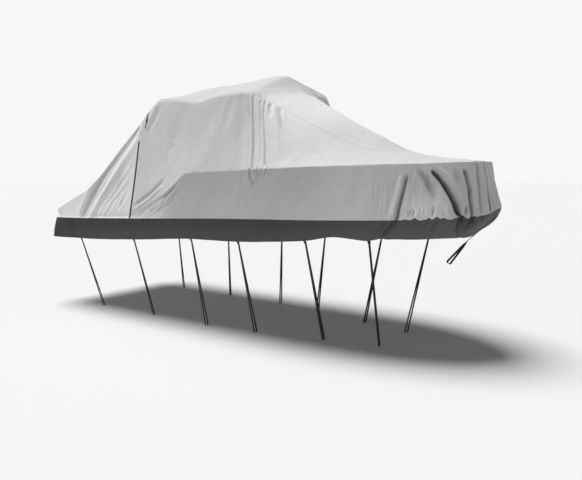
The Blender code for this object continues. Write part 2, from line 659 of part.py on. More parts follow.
def loop_path(top, out, down, turn, apart, across):
    """Down from a tab's end to a turn, across it and back up to the tab: the turn has four rounded points."""
    first = top + down * LAY_GAP
    inward = across * apart / 2
    rise = (first - turn).normalized() * apart * 0.25
    run = WEBBING_THICK * 0.75
    return [first + out * run, turn - inward + rise, turn - inward * 0.5, turn + inward * 0.5, turn + inward + rise,
            first - out * run]


def build_straps(grid):
    for word, side, rows in (("starboard", STARBOARD, grid), ("port", PORT, [line[::-1] for line in grid])):
        for number, strap in enumerate(STRAPS, start=1):
            point, fore, down, out = hem_frame(rows, strap["station"])
            centre = point - out * (CLOTH + LAY_GAP + TAB_THICK / 2)
            tab_top, tab_end = centre - down * TAB_OVERLAP, centre + down * TAB_HANG
            half, thick = fore * TAB_WIDTH / 2, out * TAB_THICK / 2
            sections = []
            bevel = down * TAB_BEVEL
            for place, narrow in ((tab_top, TAB_END_SHARE), (tab_top + bevel, 1.0), (tab_end - bevel, 1.0),
                                  (tab_end, TAB_END_SHARE)):
                sections.append([place - half * narrow - thick, place + half * narrow - thick,
                                 place + half * narrow + thick, place - half * narrow + thick])
            band("strap_tab_%s_%d" % (word, number), sections, WEBBING)
            turn = Vector((strap["turn_x"], side * strap["turn_y"], TURN_LEVEL))
            path = loop_path(tab_end, out, down, turn, strap["apart"], -Vector((out.x, out.y, 0)).normalized())
            band("strap_%s_%d" % (word, number),
                 strap_sections(path, fore, out, WEBBING_WIDTH, WEBBING_THICK), WEBBING)


def build_bow_strap(nose):
    """Strip of webbing down the outside of the skirt at the stem, and the loop that it holds."""
    places = steps_between(BOW_TAB_STEP, BOW_TAB_START, BOW_TAB_STEP)[::-1] + [0.0, -TAB_HANG]
    middles = strip("strap_tab_bow", ["skirt_starboard", "skirt_port"], nose, len(nose) // 2, places, BOW_TAB_WIDTH,
                    BOW_TAB_THICK, WEBBING)
    end, above = middles[-1], middles[-2]
    top = (end[0] + end[1]) / 2
    down = (end[0] - above[0]).normalized()
    out = (end[1] - end[0]).normalized()
    run = (BOW_STRAP_TURN - top).normalized()
    across = Vector((0, 1, 0)).cross(run).normalized()
    if across.dot(out) > 0:
        across = -across
    path = loop_path(top, out, down, BOW_STRAP_TURN, BOW_STRAP_APART, across)
    band("strap_bow", strap_sections(path, Vector((0, 1, 0)), out, WEBBING_WIDTH, WEBBING_THICK), WEBBING)


def clear_scene():
    for obj in list(bpy.data.objects):
        bpy.data.objects.remove(obj, do_unlink=True)


def main():
    clear_scene()
    grid, nose = build_cloth()
    build_zips(grid)
    build_straps(grid)
    build_bow_strap(nose)


main()
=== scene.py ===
"""Fitted boat cover of coated cloth, with zips and webbing ties.

Metres. Sizes are written in the cover's own stations: x forwards from near its stern edge, y from the centreline (+ to
port), z from the gunwale edge at the stern. ORIGIN moves them into the frame. Levels count up a side: 0 hem, 1 gunwale
edge, 2 break, where the side bends inwards, and 3 shoulder.
"""
import math
from types import SimpleNamespace

import bpy
import numpy as np
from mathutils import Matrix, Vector


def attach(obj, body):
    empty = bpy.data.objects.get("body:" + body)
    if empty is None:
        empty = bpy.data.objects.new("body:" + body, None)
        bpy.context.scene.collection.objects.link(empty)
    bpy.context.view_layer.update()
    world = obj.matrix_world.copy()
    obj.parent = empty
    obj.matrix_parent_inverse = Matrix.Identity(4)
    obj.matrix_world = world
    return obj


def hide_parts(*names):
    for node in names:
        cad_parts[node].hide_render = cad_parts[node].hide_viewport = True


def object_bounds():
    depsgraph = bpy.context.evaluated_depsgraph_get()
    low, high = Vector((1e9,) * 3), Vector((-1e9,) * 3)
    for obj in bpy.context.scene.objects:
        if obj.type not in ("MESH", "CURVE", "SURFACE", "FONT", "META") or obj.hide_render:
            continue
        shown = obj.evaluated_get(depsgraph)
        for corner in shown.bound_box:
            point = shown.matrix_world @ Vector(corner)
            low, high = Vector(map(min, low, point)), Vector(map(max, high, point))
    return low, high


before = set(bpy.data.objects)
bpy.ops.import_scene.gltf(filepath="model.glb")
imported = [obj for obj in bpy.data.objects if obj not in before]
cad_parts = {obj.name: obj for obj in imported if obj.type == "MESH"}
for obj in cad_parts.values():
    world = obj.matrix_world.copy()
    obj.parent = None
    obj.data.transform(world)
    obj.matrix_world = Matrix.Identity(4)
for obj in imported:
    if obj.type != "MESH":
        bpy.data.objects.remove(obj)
CAD_BOX = [[float(v) for v in corner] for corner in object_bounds()]

ORIGIN = np.array((3.0, 0.0, 2.042))
CLOTH = 0.003
SEAM_GAP = 0.0003
LAY_GAP = 0.0008
WEBBING_WIDTH = 0.025
WEBBING_THICK = 0.002
TAB_WIDTH = 0.038
TAB_THICK = 0.006
TAB_OVERLAP = 0.030
TAB_HANG = 0.042
TAB_STEPS = 14
TURN_LEVEL = -1.42        # height at which the side straps turn
STARBOARD, PORT = -1, 1
SIDES = (("starboard", STARBOARD), ("port", PORT))

# Lengthwise lines of the cover, by station, in cm
GUNWALE = dict(
    station=(-5, 30, 186, 400, 486, 544.5, 593.4, 625.6, 649.5, 663.7, 673.1, 679),
    y=(117, 120, 120, 120, 116.7, 107.7, 91.3, 73.5, 52.9, 35.7, 21, 6.5),
    z=(0, 0.8, 6.5, 15.2, 17.4, 19.2, 20.6, 22, 22.9, 24, 27.2, 32.5),
)
HEM = dict(
    station=(-5, 10, 47, 172, 293, 378, 482, 525, 564, 580, 626, 650, 664, 670, 679),
    x=(-23.5, -2, 46, 172, 292, 377, 479, 520, 558, 572, 612, 630, 639, 642, 645),
    y=(112, 111, 108.5, 108, 108, 108, 105, 100, 92, 87, 69, 50, 34, 25, 6),
    z=(-33.5, -33.3, -32.2, -26.6, -18, -15.7, -8.8, -2.2, -4.7, -2.3, -1.3, -0.8, -1.2, -1.5, -2.5),
)
BREAK = dict(
    station=(-5, 5, 40, 110, 179, 195, 230, 262, 293, 371, 431, 486, 544.5, 593, 625.6, 649.5, 663.7, 670, 676, 679),
    x=(-5, 4, 41, 111, 180, 196.5, 232, 264, 293, 371, 428, 480, 536, 584, 616, 640, 655, 661, 662.8, 663.6),
    y=(111, 117.5, 119, 119, 118.5, 118, 116.5, 115, 114, 114, 113.8, 111, 103, 88, 72, 54, 37, 25.5, 15, 5),
    z=(0, 2.5, 6, 10, 15, 19, 33, 53, 72.1, 75.3, 77.5, 80, 81.5, 82.5, 83.2, 84.2, 84.9, 85.3, 85.6, 85.8),
)
ROOF_STATIONS = (
    -5, 5, 18, 40, 58, 83, 110, 140, 179, 205, 240, 285, 322, 360, 385, 405,
    424, 450, 500, 550, 593, 626, 650, 664, 670, 679,
)
SHOULDER = dict(
    station=ROOF_STATIONS,
    x=(-5, -3.5, 12, 50, 78, 107, 129, 151, 180, 214, 250, 287, 322, 358, 378, 390, 403, 424, 475, 525, 570, 605, 632,
       647.5, 654, 662.2),
    y=(102, 116.2, 118, 115.5, 112.5, 107, 103, 97.5, 91.2, 85, 86, 86.5, 86, 85.5, 85, 84.5, 82, 77.5, 66, 55, 46,
       37, 27, 19, 14, 4),
    z=(0, 11.5, 19.5, 38.5, 52, 79, 101.5, 124, 153, 179, 176.5, 170.7, 176.3, 177.1, 176.8, 174.5, 168, 156, 128,
       105, 93.5, 89.5, 87.8, 86.8, 86.2, 85.8),
)
RIDGE = dict(
    station=ROOF_STATIONS,
    x=(-5, -1, 12, 46, 75, 106, 131, 158, 189, 214, 250, 287, 322, 360, 376, 392, 408, 430, 480, 530, 572, 608, 635,
       649, 655, 662.2),
    z=(0, 4, 13, 34, 54, 83, 109, 137, 171, 200, 203, 204, 206, 209, 208, 195.5, 182.5, 169, 143.7, 119, 98.5, 91.5,
       89, 87.5, 86.6, 85.8),
)
# The port shoulder stands further out at the roof's front corner.
PORT_SHOULDER = dict(
    station=(285, 360, 385, 405, 424, 460),
    x=(0, 5, 12, 9, 0, 0),
    z=(0, 5, 10.5, 5, 0, 0),
)

# Spokes, closer together where the cloth is folded: where each stretch ends and its number of steps
FIRST_STATION = -0.05
STRETCHES = ((0.40, 28), (2.60, 150), (3.84, 44), (4.62, 64), (5.70, 44), (6.48, 92), (6.70, 46), (6.790, 36))
NOSE_SEAM = 6.70
NOSE_STEPS = 20           # across the blunt nose
SKIRT_COLUMNS = 12
LOWER_COLUMNS = 34
UPPER_COLUMNS = 48
TOP_COLUMNS = 84
GATHERED_ENDS = 0.55      # how much closer the columns are beside an edge
# How far the cloth leaves the straight line between two lines, at its middle
SKIRT_BULGE, LOWER_SAG, UPPER_SAG, ROOF_SAG = 0.012, 0.010, 0.014, 0.018
NOSE_PUFF = np.array((0.030, 0.0, -0.016))
# Tucks sewn into the nose, as y, slant and depth
NOSE_TUCKS = ((-0.172, 0.045, 0.028), (0.165, -0.040, 0.024), (-0.055, 0.01, 0.010), (0.06, -0.02, 0.009))
TUCK_WIDTH = 0.009
FOLD_SHADE_START = 0.008   # depth of a fold from which its trough is painted darker, as painted shade
FOLD_SHADE_DEPTH = 0.070   # and how much deeper it is where that painted shade is darkest
# Normals of the cloth where two pieces meet at an angle. y is outwards.
NOSE_TOP_NORMAL = np.array((1.0, 0.0, 1.0))
AFT_NORMAL = np.array((-0.8, 0.0, 0.6))
STERN_SKIRT_NORMAL = np.array((-0.7, 0.7, 0.0))
STERN_CORNER_NORMAL = np.array((-0.7, 0.5, 0.5))
STEM_NORMAL = np.array((1.0, 0.0, -0.6))
STEM_TOP_NORMAL = np.array((1.0, 0.0, 0.2))

ZIP_STATION = 1.79
ZIP_CALM = 0.25           # share of a fold's depth that is left at the zip
ZIP_RUNS = (("lower", 1.79, 1.0625, 2.75), ("upper", 1.8767, 2.825, 2.992))   # with station, lowest and highest level
ZIP_LIFT = 0.0012
ZIP_TAPE_WIDTH = 0.032
ZIP_STEP = 0.015
TOOTH_PITCH, TOOTH_SHIFT, TOOTH_LIFT = 0.0042, 0.0010, 0.0034
TOOTH_HALF = (0.0030, 0.0013, 0.0010)   # half sizes: fore, up and outwards
ZIP_SLIDER = (1.8767, 2.905)   # station and level
SLIDER_LIFT = 0.0048
SLIDER_TURN = 1.9         # radians that the pull is thrown to the side
# Slider and pull from its head: distance along the zip, half width, and height of the underside and of the top, in mm
SLIDER_OUTLINE = np.array((
    (-16, 5, 0.5, 4.5), (-12, 8.5, 0, 7), (-4, 11, 0, 8), (6, 10.8, 0, 8), (13, 8.5, 0, 6), (16, 6, 1, 5),
    (20, 6, 2, 4.8), (26, 7.5, 2, 4.6), (34, 8.5, 2, 4.2), (60, 9.5, 3, 4), (70, 7, 3, 3.6),
)) / 1000
SLIDER_RING = ((-1, 0.3), (-0.8, 1), (0.8, 1), (1, 0.3), (1, 0.1), (0.8, 0), (-0.8, 0), (-1, 0.1))
ZIP_TAPE_RING = ((-0.5, 0.0), (-0.5, 0.0008), (-0.2, 0.0014), (0.2, 0.0014), (0.5, 0.0008), (0.5, 0.0))
# Half the corners round a section of webbing and of a tab; the others face them
WEBBING_RING = ((-0.5, 0.35), (-0.46, 0.5), (-0.2, 0.5), (0.2, 0.5), (0.46, 0.5), (0.5, 0.35))
TAB_RING = ((-1, 0.3), (-0.93, 0.9), (-0.5, 1.0), (0.5, 1.0), (0.93, 0.9), (1, 0.3))

# Side straps: station on the hem, x and y where each turns, and how far apart its two runs are there
STRAPS = (
    (0.47, 0.75, 0.90, 0.030), (1.73, 1.92, 0.88, 0.030), (2.93, 3.02, 0.88, 0.050),
    (3.79, 3.82, 0.77, 0.055), (4.83, 4.77, 0.55, 0.055), (5.66, 5.49, 0.39, 0.055),
)
BOW_TURN = np.array((6.20, 0.0, -0.36))
BOW_TURN_WIDTH = 0.045
BOW_TWIST = 62            # degrees
BOW_TAB_LEVEL = 0.83      # level of the bow tab's upper end on the skirt
BOW_TAB_WIDTH = 0.030
BOW_TAB_THICK = 0.005
STRAP_CORNER, STRAP_CORNER_STEPS, STRAP_STEP = 0.014, 4, 0.03
TURN_SLOPE = 0.25         # how far a run rises beside the turn, as a share of the turn's width
RUN_OFFSET = 0.75         # of a run's middle from the tab's, in thicknesses of webbing
# As shares of a tab: its waist, how its seam presses it, where and over what reach, and what its ends lose
TAB_WAIST, TAB_PRESS, TAB_SEAM, TAB_SEAM_REACH = 0.06, 0.22, 0.30, 0.10
TAB_END_NARROW, TAB_END_PRESS = 0.16, 0.25

# Node, flat size, area, how it is held and what it rests on
SHEETS = dict(
    cloth_top=("top_panel", (2.10, 8.20), 12.8, "stretched", []),
    cloth_side_starboard=("side_starboard", (2.00, 7.00), 8.5, "stretched", ["cloth_top"]),
    cloth_side_port=("side_port", (2.00, 7.00), 8.5, "stretched", ["cloth_top"]),
    cloth_nose=("nose_panel", (0.64, 0.68), 0.37, "gathered", ["cloth_top"]),
    cloth_skirt_starboard=("skirt_starboard", (0.37, 7.20), 2.35, "hung", ["cloth_side_starboard"]),
    cloth_skirt_port=("skirt_port", (0.37, 7.20), 2.35, "hung", ["cloth_side_port"]),
    cloth_skirt_stern=("skirt_stern", (0.40, 2.36), 0.80, "hung", ["cloth_top"]),
)

LIGHTS = (("key", (-0.30, -0.03, 0.95), 5.0, 32), ("fill", (-0.50, -0.75, 0.30), 0.16, 60))
SKY = ((0.27, 0.93), (0.34, 0.13))   # height and grey
FLOOR_REACH, FLOOR_GAP = 120.0, 0.004

# Rises of the seam at the bow, as station, half width and height in mm
SCALLOPS = np.array((
    (6020, 26, 8), (6115, 18, 22), (6170, 20, -8), (6245, 16, 20), (6315, 22, 30), (6375, 14, 16), (6430, 20, -10),
    (6475, 10, 14), (6535, 15, 32), (6585, 16, -6), (6630, 10, 12), (6665, 12, 14),
)) / 1000
PORT_SCALLOP_SHIFT = 0.03

# Folds of the side cloth, seen from the side. Each row is the half width and the depth in mm, how much steeper one
# flank is and the shares over which the fold comes in and goes out in percent, and then the x and z of its points
# in cm. A depth is outwards if positive.
STARBOARD_FOLDS = (
    # stern quarter, beside the hip
    (72, -34, 35, 15, 5, 192, 160, 163, 130, 143, 107, 123, 86, 102, 64, 83, 38, 62, 0),
    (46, 10, 0, 25, 5, 186, 134, 162, 106, 144, 84, 126, 60, 107, 34, 86, 0),
    (40, -9, -20, 30, 5, 172, 100, 152, 74, 134, 50, 114, 24, 100, 0),
    (18, -4.5, 30, 35, 5, 140, 72, 112, 34, 94, 0),
    (17, -6, 30, 35, 5, 120, 66, 96, 34, 77, 0),
    (14, 4.5, 0, 35, 5, 110, 56, 88, 28, 71, 0),
    (30, -8, 20, 30, 5, 177, 84, 150, 56, 122, 24, 108, 0),
    (26, -6, 10, 30, 5, 176, 66, 140, 30, 120, 0),
    (22, -4, 0, 30, 20, 177, 50, 152, 22, 140, 0),
    # from the roof's aft corner to the zip
    (36, -10, 0, 25, 30, 216, 172, 210, 156, 202, 142, 192, 128),
    (22, 6, 20, 30, 30, 208, 174, 201, 160, 195, 148),
    (22, 12, 0, 30, 30, 186, 142, 180, 134, 176, 127),
    (18, -10, 0, 30, 30, 192, 136, 186, 128, 183, 121),
    # across the break beside the zip
    (26, -17, 30, 16, 20, 246, 64, 214, 42, 184, 24),
    (20, 9, 0, 25, 25, 242, 55, 216, 36, 188, 19),
    (24, -18, 30, 30, 20, 274, 57, 260, 47, 247, 38),
    (24, -9, 20, 30, 25, 255, 42, 226, 29, 195, 13),
    (22, -6, 0, 30, 20, 272, 36, 237, 17, 215, 4),
    (18, -6, 0, 30, 20, 230, 28, 206, 14, 192, 4),
    (18, -5, 0, 35, 20, 256, 23, 230, 6),
    # pleats under the roof's front corner
    (15, -23, 30, 50, 3, 385.5, 180, 392, 144, 401, 110, 407.5, 76),
    (20, -6, 0, 10, 30, 380, 178, 385, 150, 393, 116, 400, 86),
    (26, 8, 0, 10, 20, 390, 176, 400, 145, 410, 110, 416, 80),
    (14, -10, 0, 8, 40, 395, 176, 405, 142, 412, 120),
    (16, -22, 20, 15, 5, 399, 178, 408, 142, 420, 108, 427, 78),
    (16, -18, -20, 6, 35, 405, 176, 413, 155, 420, 140),
    (18, -16, -20, 8, 30, 415, 172, 427, 148, 439, 126, 450, 110),
    (18, 7, 0, 10, 35, 410, 172, 422, 144, 435, 118, 444, 95),
    (60, -10, 0, 15, 25, 370, 178, 374, 150, 380, 116, 390, 80),
    (50, -6, 0, 20, 50, 358, 176, 350, 145, 344, 115),
    (150, -9, 0, 30, 30, 320, 160, 306, 120, 292, 85),
    (130, -6, 0, 30, 40, 260, 162, 254, 130, 250, 100),
    # below the break, under the pleats
    (13, -22, 20, 10, 30, 402.5, 79, 405, 66, 413, 54),
    (11, 14, 0, 10, 30, 409, 79, 415, 62),
    (11, -18, 0, 10, 40, 415, 79, 420, 64),
    (10, -12, 0, 10, 50, 422, 79, 424, 68),
    (11, -14, 0, 10, 50, 430, 79, 427, 68),
    # wide, low valleys of the front cloth
    (110, -8, 0, 30, 30, 462, 140, 486, 110, 498, 84),
    (90, -6, 0, 30, 30, 510, 116, 534, 98, 550, 84),
    (70, -7, 0, 30, 30, 556, 80, 550, 50, 546, 24),
    # bow
    (16, -45, -40, 12, 6, 602, 73, 600, 60, 596.5, 40, 594, 17),
    (26, 22, 0, 30, 10, 596, 72, 593, 52, 588, 22),
    (26, 12, 0, 30, 20, 607, 70, 604, 50, 600, 28),
    (38, -36, 20, 25, 30, 610, 80, 617, 69, 623, 57, 630, 42),
    (18, -115, -40, 10, 12, 623.5, 77, 629.5, 70.5, 636, 61, 642, 50, 647.8, 37, 653.5, 19),
    (28, 30, 0, 25, 20, 628, 80, 637, 70, 643, 60, 649, 48, 653, 34),
    (40, 22, 0, 30, 20, 625, 60, 634, 45, 642, 24),
    (26, -14, 0, 20, 40, 642, 82, 647, 70, 650, 58),
    (16, -60, 30, 8, 6, 650.5, 78.5, 654, 66, 656.5, 55, 659, 37, 662, 16),
    (16, 12, 0, 30, 20, 654.5, 74, 658, 55, 661, 34),
    (9, -30, 0, 2, 4, 659.7, 88, 664, 55, 668.6, 20),
    # skirt
    (26, -40, 20, 10, 30, 596, 26, 586, 13, 572, -2),
    (16, 12, 0, 20, 30, 588, 20, 579, 10, 567, -2),
    (18, -18, 0, 20, 30, 582, 20, 572, 6, 565, -2),
    (14, -45, 0, 10, 35, 652, 26, 647, 12, 642, -1),
    (12, -36, 0, 10, 35, 656, 26, 651, 12, 645, -1),
    (15, -55, 20, 10, 35, 662, 27, 655, 13, 646, -1),
    (18, -14, 0, 10, 30, 616, 22, 608, 4),
    (16, -14, 0, 10, 30, 633, 24, 624, 6),
)
PORT_FOLDS = (
    (54, -36, 30, 20, 12, 188, 156, 158, 124, 130, 96, 104, 64, 82, 36, 58, 10),
    (30, 18, 0, 20, 20, 186, 144, 156, 110, 124, 70, 100, 36, 80, 10),
    (40, -22, -20, 25, 15, 172, 102, 146, 70, 118, 36, 96, 7),
    (30, -16, 10, 30, 20, 174, 76, 140, 44, 116, 10),
    (26, -10, 0, 30, 30, 176, 56, 150, 30, 136, 8),
    (50, -13, 0, 25, 30, 214, 168, 204, 146, 190, 124),
    (34, -24, 30, 20, 25, 260, 60, 224, 38, 186, 20),
    (30, -12, 10, 35, 25, 278, 44, 244, 24, 206, 10),
    (30, -22, 30, 20, 8, 390, 174, 396, 140, 406, 102, 410, 76),
    (30, -20, 20, 15, 15, 406, 172, 414, 138, 422, 108, 430, 84),
    (26, -16, -20, 12, 30, 416, 166, 428, 142, 442, 116),
    (55, -10, 0, 25, 30, 370, 170, 372, 136, 380, 100),
    (120, -12, 0, 30, 30, 310, 158, 302, 120, 292, 86),
    (20, -12, 20, 10, 50, 406, 76, 410, 56),
    (110, -10, 0, 30, 30, 470, 136, 492, 106, 502, 84),
    (30, -20, -30, 12, 12, 606, 75, 602, 52, 598, 22),
    (42, -36, -40, 16, 16, 620, 76, 630, 58, 638, 36, 642, 22),
    (26, -22, 20, 14, 14, 644, 79, 650, 60, 655, 38, 658, 24),
    (10, -20, 0, 3, 5, 660, 88, 663.5, 55, 666.5, 20),
    (28, -18, 20, 10, 30, 596, 22, 586, 10, 576, 0),
)
# Folds of the top cloth, seen from above, with x and y in cm
TOP_FOLDS = (
    (70, -7, 10, 15, 40, 390, -62, 430, -50, 480, -34, 520, -24),
    (70, -6, 0, 20, 50, 392, -30, 440, -22, 500, -12),
    (70, -8, -10, 15, 40, 394, 52, 436, 44, 490, 30, 530, 20),
    (20, -5, 0, 5, 60, 386, -86, 384, -76, 380, -66),
    (18, -5, 0, 5, 60, 399, -86, 394, -76, 390, -70),
    (18, -5, 0, 5, 60, 405, -85, 400, -74, 396, -66),
    (50, -10, 0, 20, 60, 392, 16, 430, 12, 470, 8),
    (90, -12, 0, 30, 30, 530, 0, 580, 1, 630, 0),
    (40, -10, 0, 30, 20, 570, -30, 610, -20, 650, -10),
    (40, -10, 0, 30, 20, 576, 32, 614, 20, 650, 10),
    (110, -12, 0, 30, 30, 230, -60, 280, -46, 340, -50, 366, -60),
    (110, -12, 0, 30, 30, 234, 60, 290, 44, 360, 56),
    (30, -14, 0, 20, 50, 330, -80, 336, -60),
    (60, -26, 20, 20, 20, 196, -62, 150, -74, 100, -86, 50, -98, 20, -104),
    (60, -26, -20, 20, 20, 196, 60, 150, 72, 100, 86, 50, 99, 20, 105),
    (80, -18, 0, 25, 30, 190, -30, 140, -40, 80, -54, 20, -64),
    (80, -18, 0, 25, 30, 190, 26, 130, 36, 70, 50, 16, 62),
    (90, -14, 0, 30, 30, 180, -2, 120, 2, 40, -3),
)

# Families of small creases. Each row is their number, half width and depth in mm and the lowest and highest share
# that they reach in percent, and then two lines in cm: a crease runs from a place on the one to the same share of
# the other.
CREASES = (
    (22, 13, -4, 20, 100, 170, 136, 176, 55, 60, 0, 160, 0),
    (16, 10, -4.2, 20, 100, 250, 152, 236, 86, 276, 162, 264, 98),
    (14, 11, -5.2, 30, 100, 195, 66, 266, 62, 184, 8, 240, 6),
    (24, 12, -2.8, 30, 100, 62, 22, 260, 22, 58, 4, 254, 6),
    (7, 13, -3.5, 10, 80, 384, 172, 424, 162, 394, 80, 466, 90),
    (11, 11, -4.5, 0, 90, 386, 77, 444, 78, 392, 60, 436, 60),
    (9, 16, -4.5, 20, 100, 562, 74, 602, 76, 566, 24, 598, 24),
    (20, 11, -19, 0, 100, 598, 34, 666, 40, 598, 20, 666, 22),
    (15, 13, -9, 0, 90, 606, 80, 662, 82, 608, 26, 662, 26),
    (18, 14, -8, 0, 100, 560, 19, 660, 22, 552, 0, 646, 2),
    (26, 18, -4.5, 0, 100, 30, -2, 540, 17, 30, -31, 536, 0),
)
TOP_CREASES = (
    (15, 20, -6, 0, 100, 198, -80, 198, 80, 10, -106, 10, 106),
    (9, 30, -2.2, 0, 90, 392, -78, 392, 80, 520, -56, 520, 56),
    (8, 14, -5, 10, 100, 590, -40, 590, 40, 660, -12, 660, 12),
    (10, 24, -4.5, 0, 80, 216, -82, 374, -82, 220, -30, 370, -30),
    (10, 24, -4.5, 0, 80, 216, 82, 374, 86, 220, 30, 370, 30),
)
SEED = 41


# Lines and spokes

def curve(u, start, end, leaving, arriving, width=1.0):
    """Smooth curve from start to end, with those slopes at its two ends."""
    return ((2 * u ** 3 - 3 * u ** 2 + 1) * start + (u ** 3 - 2 * u ** 2 + u) * leaving * width
            + (3 * u ** 2 - 2 * u ** 3) * end + (u ** 3 - u ** 2) * arriving * width)


def along(line, column, station):
    """Values of a line's column at stations, on a curve that never overshoots its rows."""
    keys, values = np.array(line["station"]) / 100, np.array(line[column]) / 100
    station = np.clip(station, keys[0], keys[-1])
    slopes = np.diff(values) / np.diff(keys)
    tangents = np.zeros(len(keys))
    tangents[0], tangents[-1] = slopes[0], slopes[-1]
    product, total = slopes[:-1] * slopes[1:], slopes[:-1] + slopes[1:]
    tangents[1:-1] = np.where(product > 0, 2 * product / np.where(total == 0, 1, total), 0)
    row = np.clip(np.searchsorted(keys, station, side="left") - 1, 0, len(keys) - 2)
    width = keys[row + 1] - keys[row]
    return curve((station - keys[row]) / width, values[row], values[row + 1], tangents[row], tangents[row + 1], width)


def ease(value, low, high):
    u = np.clip((value - low) / (high - low), 0, 1)
    return u * u * (3 - 2 * u)


def between(value, low, full, fade, gone):
    """A share that comes in from low to full and goes out from fade to gone."""
    return ease(value, low, full) * (1 - ease(value, fade, gone))


def mix(a, b, share):
    return a + (b - a) * share


def bent(start, middle, end, share, softness):
    """Second half of a bend: straight if softness is 0, a smooth curve through middle if it is 1."""
    return mix(mix(middle, end, share), curve(share, middle, end, (end - start) / 2, end - middle), softness)


def unit(vectors):
    return vectors / np.maximum(np.linalg.norm(vectors, axis=-1, keepdims=True), 1e-12)


def line_points(line, side, station):
    x = along(line, "x", station) if "x" in line else station.copy()
    y = along(line, "y", station) if "y" in line else np.zeros(len(station))
    z = along(line, "z", station)
    if line is SHOULDER and side == PORT:
        x = x + along(PORT_SHOULDER, "x", station)
        z = z + along(PORT_SHOULDER, "z", station)
    return np.stack((x, side * y, z), axis=1)[:, None]


def shares(count):
    """Shares from 0 to 1, closer together at both ends."""
    u = np.arange(count + 1) / count
    return (u - GATHERED_ENDS * np.sin(2 * np.pi * u) / (2 * np.pi))[None, :, None]


def stations():
    start = FIRST_STATION
    values = [np.array([start])]
    for end, steps in STRETCHES:
        values.append(np.linspace(start, end, steps + 1)[1:])
        start = end
    return np.concatenate(values)


def side_spokes(side, station):
    """Points from the hem up to the shoulder, and their levels."""
    hem, edge, broken, shoulder, ridge = (
        line_points(line, side, station) for line in (HEM, GUNWALE, BREAK, SHOULDER, RIDGE))
    at, outward = station[:, None, None], np.array((0, side, 0))
    start_fade = ease(at, 0.1, 1.2)
    skirt, lower, upper = shares(SKIRT_COLUMNS)[:, :-1], shares(LOWER_COLUMNS)[:, :-1], shares(UPPER_COLUMNS)
    sag = UPPER_SAG * np.sin(np.pi * upper) * (1 - ease(at, 6.0, 6.6)) * start_fade
    puff = NOSE_PUFF * ease(at, 6.45, 6.74) * np.sin(np.pi * skirt ** 1.5)
    parts = (
        mix(hem, edge, skirt) + outward * SKIRT_BULGE * np.sin(np.pi * skirt) + puff,
        mix(edge, broken, lower) - outward * LOWER_SAG * np.sin(np.pi * lower) * start_fade,
        bent(ridge, shoulder, broken, 1 - upper, between(at, 3.95, 4.6, 6.3, 6.7)) - outward * sag,
    )
    return np.concatenate(parts, axis=1), np.concatenate((skirt.ravel(), 1 + lower.ravel(), 2 + upper.ravel()))


def top_spokes(station):
    """Points across the top, from one shoulder to the other."""
    at, share = station[:, None, None], shares(TOP_COLUMNS // 2)
    ridge = line_points(RIDGE, STARBOARD, station)
    sag = np.array((0, 0, ROOF_SAG)) * between(at, 1.5, 2.2, 3.4, 3.9) * np.sin(np.pi * share)
    starboard, port = (bent(line_points(BREAK, side, station), line_points(SHOULDER, side, station), ridge, share,
                            ease(at, 3.95, 4.6)) - sag for _, side in SIDES)
    return np.concatenate((starboard, port[:, -2::-1]), axis=1)


def grid_normals(grid):
    return unit(np.cross(np.gradient(grid, axis=0), np.gradient(grid, axis=1)))


def soften(grid, columns, reach, rounds, share):
    """Round the cloth over the creases at those columns, by a share of its own at each row."""
    index = np.arange(grid.shape[1])
    weight = np.max([np.clip(1.2 - np.abs(index - column) / reach, 0, 1) for column in columns], axis=0)
    weight = weight[None, 1:-1, None] * share[:, None, None] * 0.9
    for _ in range(rounds):
        grid[:, 1:-1] += weight * ((grid[:, :-2] + grid[:, 2:]) / 2 - grid[:, 1:-1])


# Folds: each is its line, half width, depth, lean, and the shares over which it comes in and goes out

def fold_height(u, v, line, width, depth, lean, start, end):
    """Height of one fold over points of a flat view."""
    steps = np.linalg.norm(np.diff(line, axis=0), axis=1)
    reached = np.concatenate(([0], np.cumsum(steps))) / steps.sum()
    best = np.full(u.shape, 1e9)
    share, offset = np.zeros(u.shape), np.zeros(u.shape)
    for k, length in enumerate(steps):
        run = (line[k + 1] - line[k]) / length
        du, dv = u - line[k][0], v - line[k][1]
        t = np.clip(du * run[0] + dv * run[1], -length if k == 0 else 0, 2 * length if k == len(steps) - 1 else length)
        distance = np.hypot(du - t * run[0], dv - t * run[1])
        nearer = distance < best
        best = np.where(nearer, distance, best)
        share = np.where(nearer, reached[k] + (reached[k + 1] - reached[k]) * t / length, share)
        offset = np.where(nearer, np.sign(run[0] * dv - run[1] * du) * distance, offset)
    fade = between(share, -start / 3, start, 1 - end, 1 + end / 3)
    across = offset / (width * (0.6 + 0.4 * fade) * (1 + lean * np.sign(offset)))
    banks = np.exp(-((np.abs(across) - 2.0) / 0.8) ** 2)
    return depth * fade * (np.exp(-across ** 2) - 0.2 * banks)


def placed(rows):
    """Folds of a table, in metres and shares."""
    return [(np.array(points).reshape(-1, 2) / 100, width / 1000, depth / 1000, lean / 100, start / 100, end / 100)
            for width, depth, lean, start, end, *points in rows]


